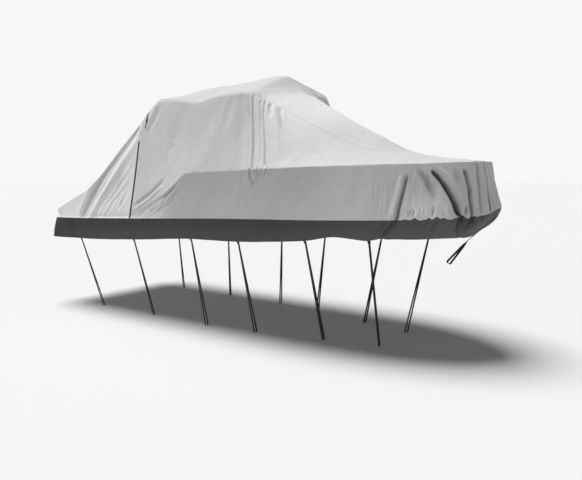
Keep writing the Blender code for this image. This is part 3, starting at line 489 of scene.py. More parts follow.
def creases(families, seed):
    """Folds of the families, uneven in place, length, width and depth."""
    chance = np.random.default_rng(seed)
    for count, width, depth, low_share, high_share, *points in families:
        top, foot = np.array(points).reshape(2, 2, 2) / 100
        for k in range(count):
            share = (k + 0.5 + chance.uniform(-0.4, 0.4)) / count
            start, end = mix(top[0], top[1], share), mix(foot[0], foot[1], share + chance.uniform(-0.03, 0.03))
            low = chance.uniform(low_share / 100 * 0.5, low_share / 100) if low_share else 0.0
            high = min(1.0, high_share / 100 * chance.uniform(0.55, 1.1))
            if high - low < 0.25:
                low = max(0.0, high - 0.35)
            first, last = mix(start, end, low), mix(start, end, high)
            run = last - first
            bow = np.array((run[1], -run[0])) * chance.uniform(-0.08, 0.08)
            sign = -1 if chance.uniform() < 0.3 else 1
            yield (np.array((first, (first + last) / 2 + bow, last)), width / 1000 * chance.uniform(0.75, 1.5),
                   sign * depth / 1000 * chance.uniform(0.35, 1.25), chance.uniform(-0.4, 0.4), 0.35, 0.35)


def scallop(grid, values, levels):
    """Pull the seam of the bow up and down in its plane, where the skirt's edge gathers it."""
    near = np.exp(-((levels - 1.0) / 0.35) ** 2) * (levels > 0.05) * (levels < 1.95)
    for half, shift in ((grid, 0.0), (grid[:, ::-1], PORT_SCALLOP_SHIFT)):
        rise = sum(height * np.exp(-((values - (x + shift)) / width) ** 2) for x, width, height in SCALLOPS)
        half[:, :len(levels), 2] += rise[:, None] * near


def slack(grid):
    x, y, z = grid[..., 0], grid[..., 1], grid[..., 2]
    swell = (0.004 * np.sin(2.3 * x + 1.1 * y + 0.7) + 0.003 * np.sin(4.9 * x - 3.1 * z + 2.0)
             + 0.003 * np.sin(3.7 * z + 2.9 * y))
    small = (0.0010 * np.sin(13.1 * x + 6.3 * z + 1.4 * np.sin(3.1 * z + 2.0 * y))
             + 0.0009 * np.sin(9.7 * z - 7.9 * x + 1.7 * np.sin(2.3 * x) + 4.0 * y)
             + 0.0007 * np.sin(21.0 * x - 17.0 * z + 2.3 * np.sin(5.0 * z) + 9.0 * y))
    return swell + small


def build_cloth():
    """The whole cloth: grid has a row for each station in values, from the starboard hem over the top to the port hem.

    levels are those of a side's columns, seam is the nose seam's row, and the last field holds the painted shade of the
    folds at each point.
    """
    values = stations()
    (starboard, levels), (port, _) = (side_spokes(side, values) for _, side in SIDES)
    grid = np.concatenate((starboard, top_spokes(values)[:, 1:-1], port[:, ::-1]), axis=1)
    last, shoulder, broken = grid.shape[1] - 1, len(levels) - 1, SKIRT_COLUMNS + LOWER_COLUMNS
    ends = grid[[0, -1]].copy()
    everywhere = np.ones(len(values))
    shoulders, breaks = (shoulder, last - shoulder), (broken, last - broken)
    for columns, reach, rounds, share in (
            (shoulders, 4, 8, everywhere),
            (shoulders, 10, 40, between(values, 0.15, 0.5, 1.70, 2.0)),
            (shoulders, 20, 150, between(values, 3.90, 4.15, 6.4, 6.7)),
            ((last - shoulder,), 9, 40, between(values, 3.6, 3.8, 4.1, 4.4)),
            ((last // 2,), 8, 20, everywhere),
            (breaks, 14, 120, between(values, 0.05, 0.3, 1.80, 2.60)),
            (breaks, 2, 1, everywhere)):
        soften(grid, columns, reach, rounds, share)
    grid[[0, -1]] = ends
    scallop(grid, values, levels)
    normals = grid_normals(grid)
    calm = between(np.arange(len(values)), 0, 16, len(values) - 14, len(values) - 3)[:, None]
    zip_calm = (ZIP_CALM + (1 - ZIP_CALM) * ease(np.abs(values - ZIP_STATION), 0.012, 0.12))[:, None]
    at_seam = 0.35 + 0.65 * ease(np.abs(levels - 1.0), 0.0, 0.12)
    at_shoulder = 1 - ease(levels, 2.965, 3.0) * ease(values, 1.0, 1.6)[:, None]
    depth = np.zeros(grid.shape[:2])
    for step, rows, seed in ((1, STARBOARD_FOLDS, SEED), (-1, PORT_FOLDS, SEED + 1)):
        side, height = grid[:, ::step][:, :len(levels)], depth[:, ::step][:, :len(levels)]
        for fold in placed(rows) + list(creases(CREASES, seed)):
            height += fold_height(side[..., 0], side[..., 2], *fold) * zip_calm * at_seam * at_shoulder
    inner = slice(shoulder, last - shoulder + 1)
    index = np.arange(inner.stop - inner.start)
    edge_fade = ease(index, 0, 2) * ease(index[::-1], 0, 2)
    for fold in placed(TOP_FOLDS) + list(creases(TOP_CREASES, SEED + 2)):
        depth[:, inner] += fold_height(grid[:, inner, 0], grid[:, inner, 1], *fold) * edge_fade
    grid += normals * ((depth + slack(grid)) * calm)[..., None]
    # The last field marks the troughs of the deeper folds for painted shade, more the deeper they are.
    return SimpleNamespace(values=values, levels=levels, grid=grid, seam=int(np.argmax(values > NOSE_SEAM - 1e-6)),
                           crease_shade=np.clip((-depth - FOLD_SHADE_START) / FOLD_SHADE_DEPTH, 0, 1))


def build_nose(cloth):
    """Spokes round the blunt nose, from the starboard seam to the port one, hem to shoulder, and the painted shade in
    their folds and tucks.
    """
    count = len(cloth.levels)
    (starboard, crease_shade), (port, port_crease_shade) = (
        (cloth.grid[cloth.seam:, ::step][:, :count], cloth.crease_shade[cloth.seam:, ::step][:, :count]) for step in (1, -1))
    share = np.linspace(0, 1, NOSE_STEPS + 1)[1:-1][:, None, None]
    rows = np.concatenate((starboard, mix(starboard[-1][None], port[-1][None], share), port[::-1]))
    # gathers that fan down from the top of the nose
    across = rows[:, SKIRT_COLUMNS + LOWER_COLUMNS // 2, 1][:, None]
    v = cloth.levels[None, :]
    low = 1 - ease(v, 1.15, 1.75)
    fan = (0.010 * np.sin(95 * across + 1.6 * v + 0.8) + 0.008 * np.sin(151 * across - 2.4 * v + 2.2)) * low
    tuck = sum(depth * np.exp(-((across - place - slant * (v - 1)) / TUCK_WIDTH) ** 2)
               for place, slant, depth in NOSE_TUCKS)
    hold = (1 - ease(np.abs(across), 0.20, 0.24)) * ease(v, 1.0, 1.06)
    fold_shade = np.concatenate((crease_shade, np.zeros((NOSE_STEPS - 1, count)), port_crease_shade[::-1]))
    # The nose's tucks and the troughs of its gathers get painted shade too.
    fold_shade = np.clip(fold_shade + np.clip(tuck * 22 - fan * 25, 0, 0.7) * hold * (v <= 2), 0, 1)
    return rows + grid_normals(rows) * ((fan - tuck) * hold * (1 - ease(v, 1.97, 2.0)))[..., None], fold_shade


# Meshes

def add_object(name, data):
    obj = bpy.data.objects.new(name, data)
    bpy.context.collection.objects.link(obj)
    return obj


def link(mesh, name, material):
    mesh.materials.append(material)
    return add_object(name, mesh)


def mesh_of(name, points, faces, smooth, uvs=()):
    """Mesh from flat arrays of corners. uvs are (name, one (u, v) a point)."""
    mesh = bpy.data.meshes.new(name)
    mesh.from_pydata((np.asarray(points) - ORIGIN).tolist(), [], [tuple(int(v) for v in face) for face in faces])
    mesh.polygons.foreach_set("use_smooth", np.asarray(smooth, dtype=bool))
    corners = np.zeros(len(mesh.loops), dtype=np.int32)
    mesh.loops.foreach_get("vertex_index", corners)
    for label, values in uvs:
        layer = mesh.uv_layers.new(name=label)
        layer.data.foreach_set("uv", np.asarray(values, dtype=np.float32)[corners].ravel())
    mesh.update()
    return mesh


def run_lengths(points, axis=0):
    """Distance run along an axis of an array of points, from its start."""
    steps = np.linalg.norm(np.diff(points, axis=axis), axis=-1)
    return np.concatenate((np.zeros_like(np.take(steps, [0], axis=axis)), np.cumsum(steps, axis=axis)), axis=axis)


def cloth_piece(name, grid, normals, inset, material, level, crease_shade):
    """Closed sheet of the cloth's thickness under a grid whose normals point outwards, drawn in at the inset edges."""
    rows, columns = grid.shape[:2]
    outer = grid.copy()
    for word, edge, at_edge, inside in (("aft", outer[0], grid[0], grid[1]), ("fore", outer[-1], grid[-1], grid[-2]),
                                        ("low", outer[:, 0], grid[:, 0], grid[:, 1]),
                                        ("high", outer[:, -1], grid[:, -1], grid[:, -2])):
        if word in inset:
            edge += unit(inside - at_edge) * SEAM_GAP / 2
    points = np.concatenate((outer.reshape(-1, 3), (outer - normals * CLOTH).reshape(-1, 3)))
    shift = rows * columns
    at = np.arange(shift).reshape(rows, columns)
    front = np.stack((at[:-1, :-1], at[1:, :-1], at[1:, 1:], at[:-1, 1:]), axis=-1).reshape(-1, 4)
    rim = np.concatenate((at[0, :], at[1:, -1], at[-1, -2::-1], at[-2:0:-1, 0]))
    after = np.roll(rim, -1)
    edges = np.stack((rim, after, after + shift, rim + shift), axis=1)
    faces = np.concatenate((front, front[:, ::-1] + shift, edges))
    smooth = np.arange(len(faces)) < len(front) * 2
    fore, up = run_lengths(grid), run_lengths(grid, 1)
    # The last map carries the painted shade of the folds.
    maps = (("from_low", fore, up), ("from_high", fore, up[:, -1:] - up),
            ("place", grid[..., 0] / 10, np.tile(level, (rows, 1)) / 3), ("fold_shade", crease_shade, crease_shade))
    mesh = mesh_of(name, points, faces, smooth, [
        (label, np.tile(np.stack((u.ravel(), v.ravel()), axis=1), (2, 1))) for label, u, v in maps])
    return link(mesh, name, material)


def tube_piece(name, sections, material):
    """Closed band through sections, each an array of the same number of corners in order round it."""
    sections = np.asarray(sections)
    count, around = sections.shape[:2]
    a = np.arange(count * around).reshape(count, around)
    b = np.roll(a, -1, axis=1)
    faces = list(np.stack((a[:-1], a[1:], b[1:], b[:-1]), axis=-1).reshape(-1, 4)) + [a[0], a[-1, ::-1]]
    smooth = np.arange(len(faces)) < len(faces) - 2
    lengths = run_lengths(sections.mean(axis=1))
    uv = np.stack((np.repeat(lengths, around), np.tile(np.linspace(0, 1, around), count)), axis=1)
    return link(mesh_of(name, sections.reshape(-1, 3), faces, smooth, (("band", uv),)), name, material)


def joined(name, blocks, material):
    """One mesh of many small closed blocks, each (points, faces)."""
    points, faces = [], []
    for block_points, block_faces in blocks:
        faces += [tuple(len(points) + v for v in face) for face in block_faces]
        points += [tuple(p) for p in block_points]
    return link(mesh_of(name, points, faces, [False] * len(faces)), name, material)


def block(centre, x_axis, y_axis, z_axis, taper=0.75):
    """Small closed block with a narrower top, given its half axes."""
    points = [centre + x_axis * sx * size + y_axis * sy * size + z_axis * level
              for level, size in ((-1, 1.0), (0.2, 1.0), (1, taper))
              for sx, sy in ((-1, -1), (1, -1), (1, 1), (-1, 1))]
    faces = [(3, 2, 1, 0), (8, 9, 10, 11)]
    for k in (0, 4):
        faces += [(k + c, k + (c + 1) % 4, k + 4 + (c + 1) % 4, k + 4 + c) for c in range(4)]
    return points, faces


def finish_piece(obj, slot, *nodes):
    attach(obj, "root")
    if nodes:
        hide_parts(*nodes)
    return obj


# Materials

class Graph:
    """Small helper around the nodes of a new material or world."""

    def __init__(self, owner, shader="Principled BSDF"):
        self.owner = owner
        owner.use_nodes = True
        self.tree = owner.node_tree
        self.shader = self.tree.nodes[shader]

    def node(self, kind, inputs=(), **settings):
        node = self.tree.nodes.new(kind)
        for key, value in settings.items():
            setattr(node, key, value)
        for key, value in dict(inputs).items():
            self.join(value, node.inputs[key])
        return node

    def join(self, value, socket):
        if isinstance(value, bpy.types.NodeSocket):
            self.tree.links.new(value, socket)
        else:
            socket.default_value = value

    def finish(self, **inputs):
        """The material or world, once its shader's inputs are set."""
        for key, value in inputs.items():
            self.join(value, self.shader.inputs[key.replace("_", " ")])
        return self.owner

    def place(self):
        return self.node("ShaderNodeTexCoord").outputs["Object"]

    def stretched(self, vector, **settings):
        return self.node("ShaderNodeMapping", {"Vector": vector, **settings}).outputs[0]

    def math(self, operation, a, b=0.0):
        return self.node("ShaderNodeMath", {0: a, 1: b}, operation=operation).outputs[0]

    def times(self, a, b):
        return self.math("MULTIPLY", a, b)

    def ripple(self, value, pitch):
        return self.math("SINE", self.times(value, 2 * math.pi / pitch))

    def noise(self, vector, scale, detail=3.0, roughness=0.55, distortion=0.0):
        return self.node("ShaderNodeTexNoise", {"Vector": vector, "Scale": scale, "Detail": detail,
                                                "Roughness": roughness, "Distortion": distortion}).outputs["Fac"]

    def ranged(self, value, low, high, to_low=0.0, to_high=1.0):
        return self.node("ShaderNodeMapRange", {0: value, 1: low, 2: high, 3: to_low, 4: to_high},
                         interpolation_type="SMOOTHSTEP").outputs[0]

    def blend(self, share, a, b):
        return self.node("ShaderNodeMix", {0: share, 6: a, 7: b}, data_type="RGBA", blend_type="MIX").outputs[2]

    def bump(self, height, distance, strength, before=None):
        inputs = {"Height": height, "Distance": distance, "Strength": strength}
        if before is not None:
            inputs["Normal"] = before
        return self.node("ShaderNodeBump", inputs).outputs[0]

    def split_uv(self, name):
        return self.node("ShaderNodeSeparateXYZ", {0: self.node("ShaderNodeUVMap", uv_map=name).outputs[0]}).outputs


def cloth_material(name, color, worn, thread, crumple, painted_tones):
    """Woven, coated cloth: weave, faint mottling, felled seams with two rows of stitches along the long edges.

    Rows of the last argument are painted light and shade, lighter or darker patches by place. Each is (colour, share,
    fades), where each fade is (axis of the place map, from, to): the colour fades in from the one value to the other,
    and is at its share where every fade is in.
    """
    g = Graph(bpy.data.materials.new(name))
    place = g.place()
    cloud = g.noise(place, 0.9, 4.0, 0.6, 0.3)
    mottle = g.noise(place, 14.0, 4.0, 0.65)
    slub = g.noise(g.stretched(place, Scale=(9.0, 9.0, 240.0)), 1.0, 2.0)
    base = g.blend(g.ranged(cloud, 0.35, 0.68), color, worn)
    base = g.blend(g.ranged(mottle, 0.30, 0.75, 0.0, 0.10), base, BLACK)
    base = g.blend(g.ranged(slub, 0.35, 0.75, 0.0, 0.35), base, worn)
    axes = g.split_uv("place")
    for tint, share, fades in painted_tones:
        for axis, fade_from, fade_to in fades:
            share = g.times(g.ranged(axes[axis], fade_from, fade_to), share)
        base = g.blend(share, base, tint)
    # Painted shade: the cloth is darkened towards near black in the deep troughs of its folds and in the nose's tucks.
    base = g.blend(g.times(g.split_uv("fold_shade")[0], 0.75), base, NEAR_BLACK)
    run, low, _ = g.split_uv("from_low")
    near = g.math("MINIMUM", low, g.split_uv("from_high")[1])
    dash = g.math("LESS_THAN", g.math("FRACT", g.times(run, 1 / STITCH_PITCH)), STITCH_SHARE)
    rows = [g.math("LESS_THAN", g.math("ABSOLUTE", g.math("SUBTRACT", near, row)), THREAD_WIDTH / 2)
            for row in STITCH_ROWS]
    stitches = g.times(dash, g.math("ADD", *rows))
    base = g.blend(g.times(stitches, 0.55), base, thread)
    soft = g.noise(g.stretched(place, Rotation=(0.0, 0.5, 0.2), Scale=(3.0, 3.0, 1.1)), 2.2, 4.0, 0.5, 0.8)
    fine = g.noise(place, 24.0, 3.0, 0.5, 0.6)
    fell = g.ranged(near, 0.016, 0.021, 1.0, 0.0)
    weave = g.times(g.ripple(run, WEAVE_PITCH), g.ripple(low, WEAVE_PITCH))
    normal = None
    for height, distance, strength in ((soft, crumple, 1.0), (fine, 0.0012, 0.6), (fell, 0.0004, 0.5),
                                       (stitches, 0.0006, 0.8), (weave, 0.00025, 0.5)):
        normal = g.bump(height, distance, strength, normal)
    return g.finish(Base_Color=base, Roughness=g.ranged(cloud, 0.3, 0.7, 0.78, 0.90), Sheen_Weight=0.05,
                    Sheen_Roughness=0.5, Normal=normal)


def webbing_material(name, color, edge_color, rib):
    """Ribbed webbing with a herringbone in its weave and worn edges."""
    g = Graph(bpy.data.materials.new(name))
    run, across, _ = g.split_uv("band")
    place = g.place()
    fuzz, wear = g.noise(place, 160.0, 3.0), g.noise(place, 9.0, 4.0)
    weave = g.times(g.ripple(run, rib), g.ripple(across, 1 / WEBBING_LINES))
    base = g.blend(g.ranged(wear, 0.45, 0.75, 0.0, 0.5), color, edge_color)
    # The low parts of the weave's ribs are painted up to a quarter darker, a painted shade that follows the bump.
    return g.finish(Base_Color=g.blend(g.ranged(weave, -1.0, 1.0, 0.25, 0.0), base, BLACK),
                    Roughness=g.ranged(fuzz, 0.3, 0.7, 0.65, 0.85),
                    Normal=g.bump(fuzz, 0.0003, 0.5, g.bump(weave, 0.0005, 0.9)))


def plain_material(name, color, light, roughness, metallic, scale):
    g = Graph(bpy.data.materials.new(name))
    grain = g.noise(g.place(), scale, 4.0)
    return g.finish(Base_Color=g.blend(g.ranged(grain, 0.35, 0.7), color, light), Metallic=metallic,
                    Roughness=g.ranged(grain, 0.3, 0.7, roughness - 0.08, roughness + 0.1),
                    Normal=g.bump(grain, 0.0002, 0.4))


def grey(value):
    return value, value, value, 1


BLACK, NEAR_BLACK, THREAD = grey(0.0), grey(0.02), grey(0.62)
# Greys that the cloth materials blend in by place, as painted shade and painted light.
PAINTED_SHADE_DARK, SKIRT_LIGHTER_GREY, PAINTED_SHADE_GREY, PALE, PAINTED_LIGHT_WHITE = grey(0.20), grey(0.30), grey(0.36), grey(0.62), grey(0.80)
# A warm grey that darkens the roof, as painted shade.
PAINTED_WARM_SHADE = (0.36, 0.355, 0.345, 1)
STITCH_PITCH, STITCH_SHARE, STITCH_ROWS, THREAD_WIDTH = 0.008, 0.62, (0.004, 0.014), 0.0016
WEAVE_PITCH = 0.0016
WEBBING_LINES = 14         # across the webbing
CANVAS_COLORS = ((0.50, 0.50, 0.503, 1), (0.53, 0.53, 0.532, 1), THREAD, 0.006)
BELOW_BREAK, ABOVE_BREAK = (1, 0.672, 0.662), (1, 0.662, 0.672)
# Painted light and shade on the side cloth: below the break it is darker from about station 2.4 forward and at the
# nose, and lighter towards the bow and on the low bow cheeks; the stern quarter and the stern end are lighter; above
# the break it is darker over the middle and towards the bow, and lighter just ahead of the pleats.
CANVAS = cloth_material("canvas_cloth", *CANVAS_COLORS, (
    (PAINTED_SHADE_DARK, 0.44, (BELOW_BREAK, (0, 0.20, 0.28))),
    (PALE, 0.34, (BELOW_BREAK, (0, 0.47, 0.56))),
    (PAINTED_SHADE_DARK, 0.12, (BELOW_BREAK, (0, 0.640, 0.655))),
    (PALE, 0.60, ((1, 0.56, 0.38), (0, 0.590, 0.605), (0, 0.650, 0.630))),
    (PALE, 0.90, ((0, 0.183, 0.175),)),
    (PAINTED_LIGHT_WHITE, 0.50, ((0, 0.090, 0.050),)),
    (PAINTED_SHADE_GREY, 0.28, (ABOVE_BREAK, (0, 0.20, 0.30), (0, 0.395, 0.375))),
    (PALE, 0.42, (ABOVE_BREAK, (0, 0.395, 0.42), (0, 0.50, 0.45))),
    (PAINTED_SHADE_GREY, 0.56, (ABOVE_BREAK, (0, 0.44, 0.56))),
))
# Painted light and shade on the top cloth: the roof is darker and warmer from about station 1.7 to 3.9, the stern slope
# and the stern end are lighter, and the front slope is lighter just ahead of the roof and darker towards the bow.
TOP_CANVAS = cloth_material("top_canvas_cloth", *CANVAS_COLORS, (
    (PAINTED_WARM_SHADE, 0.62, ((0, 0.415, 0.375), (0, 0.12, 0.22))),
    (PALE, 0.80, ((0, 0.19, 0.08),)),
    (PAINTED_LIGHT_WHITE, 0.40, ((0, 0.090, 0.050),)),
    (PALE, 0.42, ((0, 0.395, 0.42), (0, 0.50, 0.45))),
    (PAINTED_SHADE_GREY, 0.56, ((0, 0.44, 0.56),)),
))
# Painted shade: the skirt is the cover's grey cloth, painted nearly black for the shade it hangs in under the gunwale
# edge. It is painted lighter towards the bow as painted light, a little lighter towards the hem and darker at the stern
# end.
SKIRT_PAINTED_SHADE = cloth_material("skirt_cloth_painted_shade", (0.032, 0.032, 0.034, 1), (0.042, 0.042, 0.044, 1), NEAR_BLACK, 0.012, (
    (SKIRT_LIGHTER_GREY, 0.13, ((0, 0.44, 0.66),)),
    (SKIRT_LIGHTER_GREY, 0.06, ((1, 0.25, 0.05),)),
    (NEAR_BLACK, 0.5, ((0, 0.14, 0.02),)),
))
WEBBING = webbing_material("black_webbing", (0.012, 0.012, 0.013, 1), (0.030, 0.030, 0.032, 1), 0.0028)
ZIP_TAPE = webbing_material("zip_tape", (0.045, 0.045, 0.048, 1), grey(0.07), 0.0016)
ZIP_TEETH = plain_material("zip_teeth_plastic", (0.025, 0.025, 0.028, 1), grey(0.05), 0.45, 0.0, 300.0)
SLIDER = plain_material("slider_paint", (0.06, 0.06, 0.065, 1), grey(0.10), 0.42, 0.5, 260.0)


# Camera

def add_camera():
    data = bpy.data.cameras.new("camera")
    data.sensor_fit = "HORIZONTAL"
    data.sensor_width = 36.0
    data.lens = 37.11
    data.clip_end = 300.0
    camera = add_object("camera", data)
    camera.location = (5.827, -6.966, -1.304)
    camera.rotation_euler = (math.radians(83.534), 0.0, math.radians(35.5))
    bpy.context.scene.camera = camera


# Straps

def at_level(cloth, side, station, level):
    """Point of the cloth at a station and a level on one side, and the directions fore, up and outwards there."""
    row = np.interp(station, cloth.values, np.arange(len(cloth.values)))
    column = np.interp(level, cloth.levels, np.arange(len(cloth.levels)))
    rows = cloth.grid[:, ::-side]

    def sample(r, c):
        r, c = min(max(r, 0.0), len(cloth.values) - 1.001), min(max(c, 0.0), len(cloth.levels) - 1.001)
        i, j = int(r), int(c)
        return mix(mix(rows[i, j], rows[i + 1, j], r - i), mix(rows[i, j + 1], rows[i + 1, j + 1], r - i), c - j)

    fore = unit(sample(row + 1, column) - sample(row - 1, column))
    up = unit(sample(row, column + 1) - sample(row, column - 1))
    return sample(row, column), fore, up, unit(np.cross(fore, up) * -side)


def rounded(path, corner, steps):
    """The path with each inner corner turned into a short curve."""
    result = [path[0]]
    for before, point, after in zip(path, path[1:], path[2:]):
        near = min(corner, np.linalg.norm(point - before) * 0.45, np.linalg.norm(after - point) * 0.45)
        a, b = point + unit(before - point) * near, point + unit(after - point) * near
        for k in range(steps + 1):
            t = k / steps
            result.append(a * (1 - t) ** 2 + point * 2 * t * (1 - t) + b * t ** 2)
    return result + [path[-1]]


def filled(path, step):
    """The path with more points on its long stretches."""
    result = [path[0]]
    for a, b in zip(path, path[1:]):
        count = max(1, int(np.linalg.norm(b - a) / step))
        result += [mix(a, b, (k + 1) / count) for k in range(count)]
    return result


def ring(middle, across, rise, half_ring):
    """Corners round a section that looks the same after half a turn."""
    return [middle + across * (s * sign) + rise * (h * sign) for sign in (1, -1) for s, h in half_ring]


def strap(label, path, flat, out, twist=0.0):
    """Flat webbing along a path, its width kept along flat but for a twist in the middle of each of its two runs."""
    path = filled(rounded(path, STRAP_CORNER, STRAP_CORNER_STEPS), STRAP_STEP)
    sections = []
    side = 0
    axis = unit(path[len(path) // 2] - path[0])
    for k, point in enumerate(path):
        run = unit(path[min(k + 1, len(path) - 1)] - path[max(k - 1, 0)])
        share = 2 * k / (len(path) - 1) % 1
        turned = math.radians(twist) * float(between(share, 0, 0.18, 0.82, 1))
        lay = flat * math.cos(turned) + np.cross(axis, flat) * math.sin(turned)
        across = unit(lay - run * np.dot(lay, run))
        face = np.cross(run, across)
        side = side or (1 if np.dot(face, out) > 0 else -1)
        sections.append(ring(point, across * WEBBING_WIDTH, face * side * WEBBING_THICK, WEBBING_RING)[::side])
    obj = finish_piece(tube_piece("strap_webbing_" + label, sections, WEBBING), "webbing", "strap_" + label)
    line = [tuple(p - ORIGIN) for p in path]
    length = sum(np.linalg.norm(b - a) for a, b in zip(path, path[1:]))
    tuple(line[0])


def loop_path(top, out, down, turn, apart, across):
    """Down from the top to the turn, across it and back up."""
    first = top + down * LAY_GAP
    inward = across * apart / 2
    rise = unit(first - turn) * apart * TURN_SLOPE
    run = WEBBING_THICK * RUN_OFFSET
    return [first + out * run, turn - inward + rise, turn - inward * 0.5, turn + inward * 0.5, turn + inward + rise,
            first - out * run]


def tab(label, middle, across, down, out, width, thick, length):
    """Folded tab of webbing with pressed edges, a little waisted where it is sewn."""
    sections = []
    for k in range(TAB_STEPS + 1):
        share = k / TAB_STEPS
        narrow = 1 - TAB_WAIST * math.sin(math.pi * share)
        press = 1 - TAB_PRESS * math.exp(-((share - TAB_SEAM) / TAB_SEAM_REACH) ** 2)
        if k in (0, TAB_STEPS):
            narrow, press = narrow - TAB_END_NARROW, press - TAB_END_PRESS
        sections.append(ring(middle + down * (share - 0.5) * length, across * width / 2 * narrow,
                             out * thick / 2 * press, TAB_RING))
    if np.dot(np.cross(across, out), down) >= 0:
        sections = [corners[::-1] for corners in sections]
    finish_piece(tube_piece("strap_end_" + label, sections, WEBBING), "webbing", "strap_tab_" + label)


def add_straps(cloth, nose):
    tabs = []
    for word, side in SIDES:
        for number, (station, turn_x, turn_y, apart) in enumerate(STRAPS, start=1):
            point, fore, up, out = at_level(cloth, side, station, 0.0)
            down = -unit(up - fore * np.dot(up, fore))
            centre = point - out * (CLOTH + LAY_GAP + TAB_THICK / 2)
            label = "%s_%d" % (word, number)
            turn = np.array((turn_x, side * turn_y, TURN_LEVEL))
            strap(label, loop_path(centre + down * TAB_HANG, out, down, turn, apart, -unit(out * (1, 1, 0))), fore, out)
            tabs.append((label, centre + down * (TAB_HANG - TAB_OVERLAP) / 2, fore, down, out, TAB_WIDTH, TAB_THICK,
                         TAB_HANG + TAB_OVERLAP))
    upper = nose[len(nose) // 2, :SKIRT_COLUMNS + 1]
    column = np.interp(BOW_TAB_LEVEL, cloth.levels, np.arange(len(cloth.levels)))
    high = mix(upper[int(column)], upper[int(column) + 1], column - int(column))
    low = upper[0]
    down = unit(low - high)
    across = np.array((0.0, 1.0, 0.0))
    out = np.cross(down, across)
    seat = max(np.dot(p - low, out) for p in upper[:int(column) + 2]) + LAY_GAP * 2
    top = low + down * TAB_HANG + out * (seat + BOW_TAB_THICK / 2)
    inward = unit(np.cross(across, unit(BOW_TURN - top)))
    strap("bow", loop_path(top, out, down, BOW_TURN, BOW_TURN_WIDTH, inward), across, out, BOW_TWIST)
    length = np.linalg.norm(high - low) + TAB_HANG
    tabs.append(("bow", top - down * length / 2, across, down, out, BOW_TAB_WIDTH, BOW_TAB_THICK, length))
    for values in tabs:
        tab(*values)


# Zips

def add_zips(cloth):
    for word, side in SIDES:
        for run, station, low, high in ZIP_RUNS:
            foot, head = (at_level(cloth, side, station, level)[0] for level in (low, high))
            count = max(8, int(np.linalg.norm(head - foot) / ZIP_STEP))
            spine = [at_level(cloth, side, station, low + (high - low) * k / count) for k in range(count + 1)]
            tape = [[point + fore * share * ZIP_TAPE_WIDTH + out * (ZIP_LIFT + height)
                     for share, height in ZIP_TAPE_RING][::-side] for point, fore, _, out in spine]
            label = "%s_%s" % (run, word)
            finish_piece(tube_piece("zip_tape_" + label, tape, ZIP_TAPE), "zip_teeth", "zip_" + label)
            reach = run_lengths(np.array([place[0] for place in spine]))
            teeth = []
            for k in range(int(reach[-1] / TOOTH_PITCH)):
                place = np.interp((k + 0.5) * TOOTH_PITCH, reach, np.arange(len(reach)))
                i = min(int(place), len(spine) - 2)
                _, fore, up, out = spine[i]
                point = mix(spine[i][0], spine[i + 1][0], place - i) + fore * (TOOTH_SHIFT if k % 2 else -TOOTH_SHIFT)
                axes = (axis * half for axis, half in zip((fore, up, out), TOOTH_HALF))
                teeth.append(block(point + out * TOOTH_LIFT, *axes))
            finish_piece(joined("zip_coil_" + label, teeth, ZIP_TEETH), "zip_teeth")
        add_slider(word, *at_level(cloth, side, *ZIP_SLIDER))


def add_slider(word, point, fore, up, out):
    """Slider body with a nose and a pull that is thrown to the side."""
    sections = []
    before = SLIDER_OUTLINE[0][0]
    centre = point + out * SLIDER_LIFT - up * before
    for along_zip, half, low, high in SLIDER_OUTLINE:
        turn = SLIDER_TURN * float(ease(along_zip, 0.014, 0.030))
        run = -up * math.cos(turn) + fore * math.sin(turn)
        centre = centre + run * (along_zip - before)
        before = along_zip
        across = np.cross(out, run)
        sections.append([centre + across * half * s + out * (low + (high - low) * h) for s, h in SLIDER_RING])
    finish_piece(tube_piece("zip_pull_" + word, sections, SLIDER), "slider_metal", "zip_slider_" + word)


# Cloth pieces

def piece(name, layers, part, level, material=CANVAS, inset=("aft", "fore", "low", "high")):
    """Sheet of a part of the layers, which are a grid, its normals and the painted shade in its folds."""
    node, flat, area, held, rests_on = SHEETS[name]
    rows, normals, crease_shade = (layer[part] for layer in layers)
    obj = cloth_piece(name, rows, normals, inset, material, level, crease_shade)
    finish_piece(obj, "skirt_canvas" if material == SKIRT_PAINTED_SHADE else "canvas", node)


